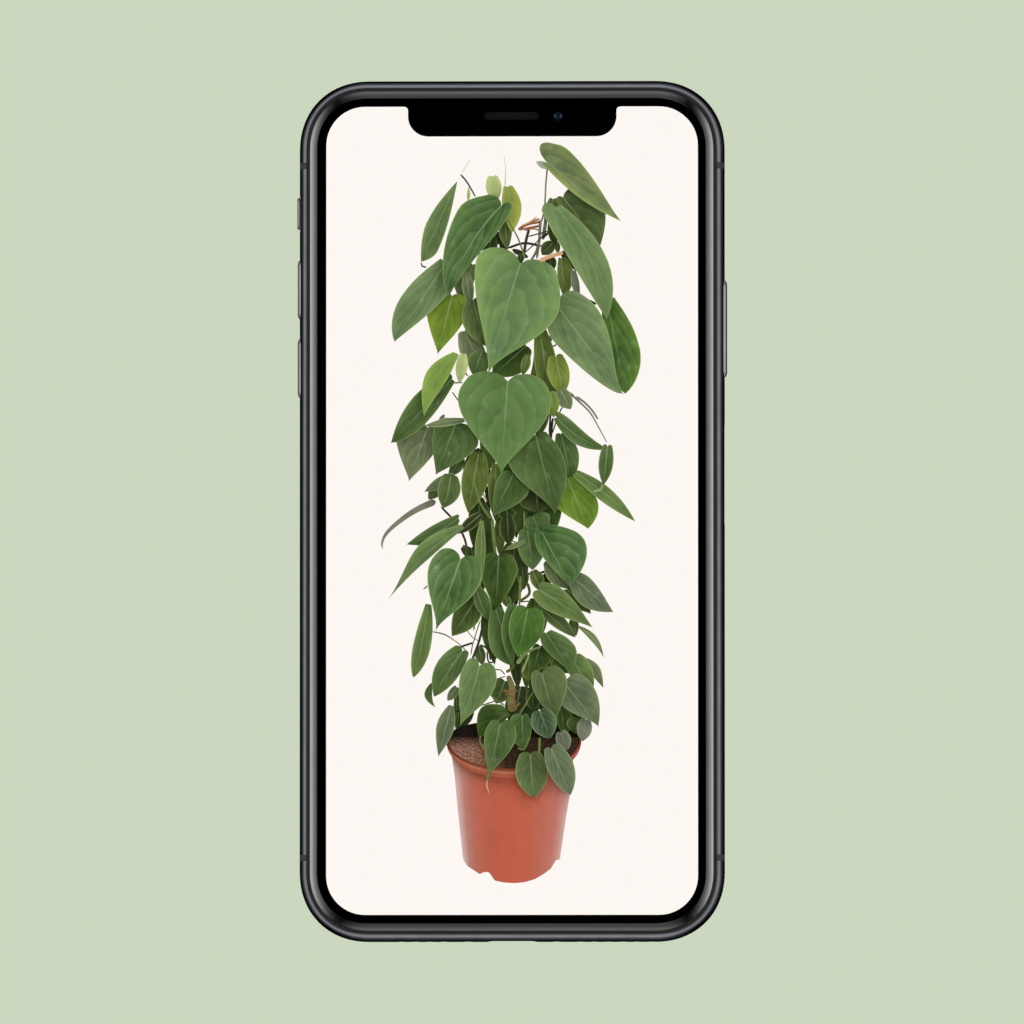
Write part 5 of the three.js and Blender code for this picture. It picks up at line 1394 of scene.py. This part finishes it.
def addWire(bm, facing, place, reach, crossings, phase):
    # A wire of square section, drawn straight and then waved over and under the wires that it crosses
    steps = 2 * crossings
    rows = [(0, reach * (2 * i / steps - 1)) for i in range(steps + 1)]
    _, verts = loft(circleOutline(weave["wire"], 4), rows, bm=bm)
    turned(bm, verts, facing, place)
    axis = 0 if facing == "right" else 1
    for vert in verts:
        passed = (1 + (vert.co[axis] - place[axis]) / reach) / 2
        vert.co.z += weave["rise"] * math.cos(math.pi * (crossings * passed + phase))


def makeWovenMesh():
    # Plain weave of fine wires in a thin rim, over a dark floor
    bm = bmesh.new()
    halfLong, halfHigh = slot["long"] / 2 - weave["clear"], slot["high"] / 2 - weave["clear"]
    across, along = int(2 * halfHigh / weave["pitch"]), int(2 * halfLong / weave["pitch"])
    for k in range(along + 1):
        x = -halfLong + 2 * halfLong * k / along
        # The slot's round ends shorten the wires there
        short = max(halfHigh - halfLong + abs(x), 0)
        reach = math.sqrt(max(halfHigh ** 2 - short ** 2, weave["shortest"] ** 2))
        addWire(bm, "down", (x, slot["y"], weave["z"]), reach, across, k)
    for k in range(across + 1):
        y = -halfHigh + 2 * halfHigh * (k + 0.5) / (across + 1)
        reach = halfLong - halfHigh + math.sqrt(max(halfHigh ** 2 - y ** 2, 0))
        addWire(bm, "right", (0, slot["y"] + y, weave["z"]), reach, along, k + 1)
    low, place = slot["low"], (0, slot["y"], 0)
    upper = [(inset, weave["rimTop"] + rise) for inset, rise in weave["rim"]]
    rim = [(upper[0][0], low)] + upper + [(upper[-1][0], low)]
    for gap, rows, closed in ((weave["rimGap"], rim, True),
                              (weave["floorGap"], [(0, low), (0, weave["floorTop"])], False)):
        shape = pillOutline(slot["long"] - 2 * gap, slot["high"] - 2 * gap, weave["ends"])
        turnedLoft(shape, rows, "up", place, closed, bm)
    finishPiece(bm, "earpiece_weave", [wireCloth()], hides=["earpiece_mesh"], sharp=50)


def lensRows(radius, reach, rim, steps=9, flat=0.02):
    # A cap of a sphere on a straight rim, with a small flat top, as insets from its own edge
    edge, high = radius * math.sin(reach), radius * (1 - math.cos(reach))
    angles = [reach * (1 - i / steps) for i in range(steps)]
    return [(0, 0)] + [(edge - radius * math.sin(angle), rim + high - radius * (1 - math.cos(angle)))
                       for angle in angles] + [(edge - flat, rim + high)]


frontLensShape = {
    "lens": (1.5, 0.62, 0.12),  # radius of its sphere, its half angle, height of its rim
    # A thin grey ring round the lens, which catches a crescent of light
    "ring": [(0, 0.16), (0, 0.3), (0.03, 0.34), (0.07, 0.3), (0.08, 0.16)], "ringGap": 0.01,
}


def makeFrontCamera():
    radius, reach, rim = frontLensShape["lens"]
    place = (frontEye["x"], slot["y"], frontEye["base"])
    bm = turnedLoft(circleOutline(radius * math.sin(reach)), lensRows(radius, reach, rim), "up", place)
    finishPiece(bm, "front_lens", [frontLens], hides=["front_camera_lens"], sharp=50)
    ringShape = circleOutline(frontEye["hole"] - frontLensShape["ringGap"], 40)
    bm = turnedLoft(ringShape, frontLensShape["ring"], "up", place, closed=True)
    finishPiece(bm, "front_lens_ring", [modulePlastic], sharp=50)


makeWovenMesh()
makeFrontCamera()
print("front sensors made")


# Keys, lever and card tray

keys = {
    "floor": 1.1,            # from the outline in to the underside of a cap
    "high": 2.6, "steps": 9, "edge": 0.06,
    "proud": {"power": 0.4, "volumeUp": 0.34, "volumeDown": 0.34},
    "dome": (1.0, 0.75),     # how far the rounding runs in over the face, and down the side
    "stemHigh": 1.3, "stemSunk": 0.1, "stemRoot": 0.2,
    "flangeHigh": 2.2, "flangeThick": 0.4, "flangeExtra": 2, "flangeGap": 0.05,
}


def capRows(floor, edge, reach, drop, top, steps):
    # A cap's side from its chamfered foot up, and a quarter of an oval in over its top
    turns = [math.pi / 2 * i / steps for i in range(steps + 1)]
    over = [(reach * (1 - math.cos(turn)), top - drop + drop * math.sin(turn)) for turn in turns]
    return [(edge, floor), (0, floor + edge)] + over


def makeKey(name, body, node, hand):
    long, y = keySlots[name]
    inner = halfWidth - ring["wall"] - keys["flangeGap"]
    floor, top = halfWidth - keys["floor"], halfWidth + keys["proud"][name]
    place, stem = (0, y, middleZ), long / 2
    cap = capRows(floor, keys["edge"], *keys["dome"], top, keys["steps"])
    bm = turnedLoft(pillOutline(long, keys["high"], 12), cap, hand, place)
    turnedLoft(pillOutline(stem, keys["stemHigh"]),
               [(0, inner - keys["stemRoot"]), (0, floor + keys["stemSunk"])], hand, place, False, bm)
    turnedLoft(pillOutline(stem + keys["flangeExtra"], keys["flangeHigh"]),
               [(0, inner - keys["flangeThick"]), (0, inner)], hand, place, False, bm)
    finishPiece(bm, f"{node}_cap", [keySteel], body, [node], sharp=40)


lever = {"long": 5.5, "high": 1.7, "corner": 0.8, "y": 49.67, "restZ": middleZ + 0.55, "proud": 0.4,
         "floor": 1.3, "round": (0.37, 0.6), "stem": (1.6, 1.0, 0.1), "stemLong": 1.2, "steps": 7}


def makeLever():
    floor, top = halfWidth - lever["floor"], halfWidth + lever["proud"]
    place = (0, lever["y"], lever["restZ"])
    cap = capRows(floor, keys["edge"], *lever["round"], top, lever["steps"])
    bm = turnedLoft(roundedOutline(lever["long"], lever["high"], lever["corner"]), cap, "left", place)
    stem = [(0, floor - lever["stemLong"]), (0, floor + keys["stemSunk"])]
    turnedLoft(roundedOutline(*lever["stem"]), stem, "left", place, False, bm)
    finishPiece(bm, "silence_lever_cap", [leverSteel], "silence_slider", ["silence_lever"],
                sharp=40)


tray = {"rise": 0.05, "depth": 1.2, "edge": 0.08, "round": (0.5, 0.14), "steps": 6,
        "plateY": (-1.7, 11.5), "plateThick": 1.0, "inner": 19.5, "sunk": 0.3, "corner": 0.3,
        "cardLong": 12.4, "cardWide": 8.9, "cardCorner": 0.6, "ledge": 0.8, "fromEnd": 1.6, "floor": 0.25,
        "pinGap": 0.1, "cuts": {"pocket": 2, "window": 3, "pin": 4}}


def makeTray():
    long, high, y = keySlots["tray"]
    outer = halfWidth - tray["rise"]
    inner = outer - tray["depth"]
    face = capRows(inner, tray["edge"], *tray["round"], outer, tray["steps"])
    bm = turnedLoft(pillOutline(long, high, 12), face, "right", (0, y, middleZ))
    # The plate runs from inside the face to the tray's inner end
    low, top = middleZ - tray["plateThick"] / 2, middleZ + tray["plateThick"] / 2
    nearY, farY = tray["plateY"]
    plateY, sunkX = (nearY + farY) / 2, inner + tray["sunk"]
    plate = roundedOutline(farY - nearY, sunkX - tray["inner"], tray["corner"])
    turnedLoft(plate, [(0, low), (0, top)], "along", ((sunkX + tray["inner"]) / 2, plateY, 0), False, bm)
    piece = finishPiece(bm, "card_tray_drawer", [ringSteel], "card_drawer", ["card_tray"],
                        sharp=40)
    # The card's pocket has a narrow ledge all round an open window, and the eject pin has its hole
    cardX = tray["inner"] + tray["fromEnd"] + tray["cardWide"] / 2
    pocket = roundedOutline(tray["cardLong"], tray["cardWide"], tray["cardCorner"])
    window = roundedOutline(tray["cardLong"] - 2 * tray["ledge"], tray["cardWide"] - 2 * tray["ledge"],
                            tray["cardCorner"])
    pinRadius, pinY = keySlots["pin"]
    pin, cuts = circleOutline(pinRadius - tray["pinGap"], 20), tray["cuts"]
    cutPiece(piece, [
        cutter(pocket, cuts["pocket"], "along", (cardX, plateY, low + tray["floor"])),
        cutter(window, cuts["window"], "along", (cardX, plateY, low - overcut)),
        cutter(pin, cuts["pin"], "right", (outer - cuts["pin"] / 2, pinY, middleZ))])


makeKey("power", "power_button", "power_key", "right")
makeKey("volumeUp", "volume_up_button", "volume_up_key", "left")
makeKey("volumeDown", "volume_down_button", "volume_down_key", "left")
makeLever()
makeTray()
print("keys, lever and tray made")


# Rear cameras under their window

rear = {
    "barrel": 3.7, "barrelTop": 1.25, "lensZ": 1.45,
    "lens": (3.2, 0.6, 0.1),  # radius of the lens's sphere, its half angle, height of its rim
    # Radius and height of each step down into the well over the lens
    "well": ((2.9, 0.78), (2.75, 0.9), (2.75, 1.0), (2.45, 1.0), (2.45, 1.12), (2.2, 1.12), (2.2, 1.3)),
    "trimTop": 0.8, "trimEdge": (0.09, 0.03),
    "windowZ": (0.1, 0.7), "windowCorner": 0.05,
    "printZ": (0.71, 0.75), "printInset": 0.15, "printHoles": {"lens": 2.95, "flash": 1.2},
}
flash = {
    "radius": 1.15, "z": (0.8, 2.2), "rings": 5, "pitch": 0.2, "edge": 0.05,
    "ridge": ((0, 0.01), (0.16, 0.07), (0.19, 0.01)),
}


def makeCameraTrim():
    long, wide, trim = cameraBump["long"], cameraBump["wide"], cameraBump["trim"]
    x, y = cameraBump["x"], cameraBump["y"]
    top, (reach, facet) = rear["trimTop"], rear["trimEdge"]
    rows = [(0, top), (0, reach), (facet, facet), (reach, 0), (trim - reach, 0), (trim - facet, facet),
            (trim, reach), (trim, top)]
    bm = turnedLoft(pillOutline(long + 2 * trim, wide + 2 * trim, 26), rows, "along", (x, y, 0), closed=True)
    finishPiece(bm, "camera_trim_ring", [trimSteel], hides=["camera_trim"], sharp=50)
    (low, high), joint, corner = rear["windowZ"], gasket["joint"], rear["windowCorner"]
    rows = [(corner, low), (0, low + corner), (0, high)]
    bm = turnedLoft(pillOutline(long - 2 * joint, wide - 2 * joint, 26), rows, "along", (x, y, 0))
    finishPiece(bm, "camera_window_pane", [windowGlass], hides=["camera_window"], sharp=20)
    # Black print under the window, open over each camera and the flash
    loops = [[Vector((x - p.y, y + p.x)) for p in pillOutline(long, wide, 26)(rear["printInset"])]]
    holes = [(lensY, rear["printHoles"]["lens"]) for lensY in cameraBump["lensYs"].values()]
    for holeY, radius in holes + [(y, rear["printHoles"]["flash"])]:
        loops.append([p + Vector((x, holeY)) for p in circleOutline(radius, 40)(0)])
    finishPiece(flatPlate(loops, *rear["printZ"]), "camera_window_print", [printedInk])


def makeRearCamera(name, y):
    well = [(rear["barrel"] - radius, z) for radius, z in rear["well"]]
    rows = [(0, rear["barrelTop"]), (0, well[0][1])] + well
    bm = turnedLoft(circleOutline(rear["barrel"], 48), rows, "up", (cameraBump["x"], y, 0))
    finishPiece(bm, f"rear_camera_{name}_barrel", [modulePlastic], sharp=30)
    radius, reach, rim = rear["lens"]
    bm = turnedLoft(circleOutline(radius * math.sin(reach), 40), lensRows(radius, reach, rim, 12), "under",
                    (cameraBump["x"], y, rear["lensZ"]))
    finishPiece(bm, f"rear_camera_{name}_front_lens", [rearLens],
                hides=[f"rear_camera_{name}_lens"], sharp=50)


def makeFlash():
    low, high = flash["z"]
    rows = [(0, high), (0, low + flash["edge"])]
    for k in range(flash["rings"]):
        start = flash["edge"] + k * flash["pitch"]
        rows += [(start + inset, low + rise) for inset, rise in flash["ridge"]]
    bm = turnedLoft(circleOutline(flash["radius"], 36), rows, "up", (cameraBump["x"], cameraBump["y"], 0))
    finishPiece(bm, "flash_lens", [phosphorCover()], hides=["flash_led"], sharp=15)


makeCameraTrim()
for cameraName, cameraY in cameraBump["lensYs"].items():
    makeRearCamera(cameraName, cameraY)
makeFlash()
print("rear cameras made")


# Charging socket and base screws

port = {"long": 8.4, "high": 2.6, "wall": 0.25, "deep": 6.9, "floor": 0.5, "edge": 0.06, "innerEdge": 0.04,
        "tongue": (6.7, 0.7, 0.3), "tip": (0.1, 0.12), "sunk": 1.0, "joint": 0.05,
        "contacts": 8, "contact": (0.36, 2.6, 0.03), "contactCorner": 0.08, "contactStart": 0.15,
        "margin": 0.4}     # free width beside the contacts, as a share of their pitch
screw = {"head": 0.75, "sunk": 0.25, "high": 0.6, "shank": 0.45, "long": 2.3, "edge": 0.08,
         "drive": 0.4, "driveDeep": 0.35, "driveWave": 0.17, "driveLobes": 5, "driveSteps": 50}


def makeSocket():
    mouth = ring["wall"] + port["joint"] - halfLength
    wall, deep, edge = port["wall"], port["deep"], port["edge"]
    back = mouth + deep
    rows = [(0, 0), (0, deep - edge), (edge, deep), (wall - port["innerEdge"], deep), (wall, deep - edge),
            (wall, port["floor"])]
    shell = pillOutline(port["long"] + 2 * wall, port["high"] + 2 * wall, 16)
    bm = turnedLoft(shell, rows, "down", (0, back, middleZ))
    finishPiece(bm, "socket_shell", [platedShell], hides=["charge_socket"], sharp=40)
    long, thick, _ = port["tongue"]
    tipInset, tipLong = port["tip"]
    reach = deep - port["floor"] - port["sunk"]
    rows = [(0, -0.1), (0, reach - tipLong), (tipInset, reach)]
    bm = turnedLoft(roundedOutline(*port["tongue"]), rows, "down", (0, back - port["floor"], middleZ))
    finishPiece(bm, "socket_tongue", [socketPlastic], sharp=40)
    # A row of flat contacts on both faces of the tongue
    wide, contactLong, contactThick = port["contact"]
    contactY = mouth + port["sunk"] + port["contactStart"] + contactLong / 2
    shape = roundedOutline(wide, contactLong, port["contactCorner"], 3)
    bm = bmesh.new()
    for k in range(port["contacts"]):
        x = (k - (port["contacts"] - 1) / 2) * long / (port["contacts"] + port["margin"])
        for facing, z in (("under", middleZ - thick / 2), ("up", middleZ + thick / 2)):
            turnedLoft(shape, [(0, 0), (0, contactThick)], facing, (x, contactY, z), False, bm)
    finishPiece(bm, "socket_contacts", [goldPlate()])


def driveOutline(inset):
    # A circle that swings out in round lobes
    steps, lobes = screw["driveSteps"], screw["driveLobes"]
    swings = [1 + screw["driveWave"] * math.cos(2 * math.pi * lobes * i / steps) for i in range(steps)]
    return [(screw["drive"] * swing - inset) * point for swing, point in zip(swings, around(steps))]


def makeBaseScrew(name, side):
    top, neck = -screw["sunk"], screw["head"] - screw["shank"]
    rows = [(neck, -screw["long"]), (neck, top - screw["high"]), (0, top - screw["high"]),
            (0, top - screw["edge"]), (screw["edge"], top)]
    x = side * baseHoles["screwX"]
    bm = turnedLoft(circleOutline(screw["head"], 40), rows, "down", (x, -halfLength, middleZ))
    piece = finishPiece(bm, f"{name}_fine", [screwSteel], hides=[name], sharp=30)
    cutPiece(piece, [cutter(driveOutline, 1, "down", (x, -halfLength - top + screw["driveDeep"], middleZ))])


makeSocket()
for hand, side in hands.items():
    makeBaseScrew(f"base_screw_{hand}", side)
print("base made")


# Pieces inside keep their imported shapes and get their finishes

insideFinishes = {
    foilWrap(): ["battery_cell_long", "battery_cell_short"],
    solderMask(): ["logic_board"],
    polyimide(): ["display_flex", "base_flex"],
    pressedSteel: ["display_backplate", "sensor_bracket", "shield_can_upper", "shield_can_lower",
                   "connector_bracket", "card_reader", "haptic_motor"],
    modulePlastic: ["earpiece_speaker", "front_camera", "infrared_camera", "dot_projector",
                    "proximity_sensor", "rear_camera_upper", "rear_camera_lower", "power_switch",
                    "volume_up_switch", "volume_down_switch", "silence_switch", "loudspeaker",
                    "base_microphone"],
    screwSteel: ["board_screw_1", "board_screw_2", "board_screw_3", "board_screw_4"],
}

for finish, names in insideFinishes.items():
    for nodeName in names:
        setFinish(nodeName, finish)
print("inside finished")


# Stage: pale green ground, even light all round, and the camera overhead

stage = {
    "ground": "#cbd8bf", "size": 12.0, "low": -0.3,
    "lens": 800, "sensor": 36, "span": 170.72, "focusZ": 3.85, "centre": (-0.039, -0.11),
    "lean": (2.0, 2.0),      # degrees that the camera stands to the right and below
    "clip": (0.05, 50.0), "soft": 0.8,
}


def groundMaterial():
    # Matt paper ground lit evenly: seen from below it lets the view through to the phone's back
    material = bpy.data.materials.new("palePaperGround")
    material.use_nodes = True
    tree = material.node_tree
    tree.nodes.clear()
    glow = addNode(tree, "Emission", {"Color": linear(stage["ground"]), "Strength": 1.0})
    clear = addNode(tree, "BsdfTransparent")
    below = addNode(tree, "NewGeometry").outputs["Backfacing"]
    addNode(tree, "OutputMaterial", (addNode(tree, "MixShader", (below, glow, clear)),))
    return material


def makeGround():
    bm = bmesh.new()
    bmesh.ops.create_grid(bm, x_segments=1, y_segments=1, size=stage["size"] / 2)
    bmesh.ops.translate(bm, vec=(0, 0, stage["low"] * mm), verts=bm.verts)
    mesh = bpy.data.meshes.new("ground")
    bm.to_mesh(mesh)
    bm.free()
    mesh.materials.append(groundMaterial())
    ground = bpy.data.objects.new("ground", mesh)
    bpy.context.scene.collection.objects.link(ground)
    ground.visible_glossy = False
    ground.visible_diffuse = False


# Brightness of what the gloss reflects, by degrees from straight overhead: cards along both sides,
# cards at both ends, and what is the same all round
sideCards = [(0, 0.0), (9, 0.0), (14, 0.24), (22, 0.3), (30, 0.4), (39, 0.55), (47, 0.74), (56, 0.98),
             (66, 1.2), (74, 1.32), (78, 1.2), (82, 0.1)]
endCards = [(0, 0.0), (9, 0.0), (14, 0.17), (25, 0.165), (42, 0.2), (50, 0.27), (59, 0.35), (69, 0.35),
            (75, 0.38), (79, 0.36), (84, 0.17)]
allRound = [(0, 0.0), (80, 0.0), (84, 0.17), (92, 0.38), (101, 0.84), (111, 0.58), (120, 0.14), (131, 0.0),
            (162, 0.0), (170, 0.04), (180, 0.12)]
# How a card fades towards its ends, by how squarely the direction faces it
sideShare = [(0.5, 0.0), (0.6, 0.04), (0.707, 0.15), (0.8, 0.35), (0.866, 0.55), (0.94, 0.8), (1.0, 1.0)]
endShare = [(0.8, 0.0), (0.866, 0.06), (0.94, 0.4), (1.0, 1.0)]


def byDegrees(cards):
    return [(degrees / 180, bright) for degrees, bright in cards]


def makeWorld():
    world = bpy.data.worlds.new("studio")
    world.use_nodes = True
    world.cycles.sampling_method = "NONE"
    tree = world.node_tree
    tree.nodes.clear()
    place = addNode(tree, "TexCoord").outputs["Generated"]
    x, y, z = addNode(tree, "SeparateXYZ", (place,)).outputs
    fromTop = addNode(tree, "Math", (z,), operation="ARCCOSINE")
    fromTop = addNode(tree, "Math", (fromTop, math.pi), operation="DIVIDE")
    flat = addNode(tree, "Math", (x, x), operation="MULTIPLY")
    flat = addNode(tree, "Math", (y, y, flat), operation="MULTIPLY_ADD")
    flat = addNode(tree, "Math", (flat,), operation="SQRT")
    flat = addNode(tree, "Math", (flat, 0.001), operation="MAXIMUM")
    total = addNode(tree, "ValToRGB", (fromTop,), byDegrees(allRound))
    for axis, cards, share in ((x, sideCards, sideShare), (y, endCards, endShare)):
        squarely = addNode(tree, "Math", (axis,), operation="ABSOLUTE")
        squarely = addNode(tree, "Math", (squarely, flat), operation="DIVIDE")
        card = addNode(tree, "ValToRGB", (fromTop,), byDegrees(cards))
        fade = addNode(tree, "ValToRGB", (squarely,), share)
        card = addNode(tree, "Math", (card, fade), operation="MULTIPLY")
        total = addNode(tree, "Math", (total, card), operation="ADD")
    gloss = addNode(tree, "Background", {"Color": total})
    soft = addNode(tree, "Background", {"Color": linear("#ffffff"), "Strength": stage["soft"]})
    backdrop = addNode(tree, "Background", {"Color": linear(stage["ground"])})
    ray = addNode(tree, "LightPath")
    lights = addNode(tree, "MixShader", (ray.outputs["Is Diffuse Ray"], gloss, soft))
    seen = addNode(tree, "MixShader", (ray.outputs["Is Camera Ray"], lights, backdrop))
    addNode(tree, "OutputWorld", (seen,))
    bpy.context.scene.world = world


def makeCamera():
    camera = bpy.data.objects.new("camera", bpy.data.cameras.new("camera"))
    camera.data.lens = stage["lens"]
    camera.data.sensor_width = stage["sensor"]
    camera.data.clip_start, camera.data.clip_end = stage["clip"]
    distance = stage["span"] * stage["lens"] / stage["sensor"]
    right, below = (math.radians(angle) for angle in stage["lean"])
    camera.rotation_euler = (below, right, 0)
    aim = camera.rotation_euler.to_matrix() @ Vector((0, 0, distance))
    camera.location = (Vector((*stage["centre"], stage["focusZ"])) + aim) * mm
    bpy.context.scene.collection.objects.link(camera)
    bpy.context.scene.camera = camera
    bpy.context.scene.view_settings.view_transform = "Standard"


makeGround()
makeWorld()
makeCamera()
print("stage made")
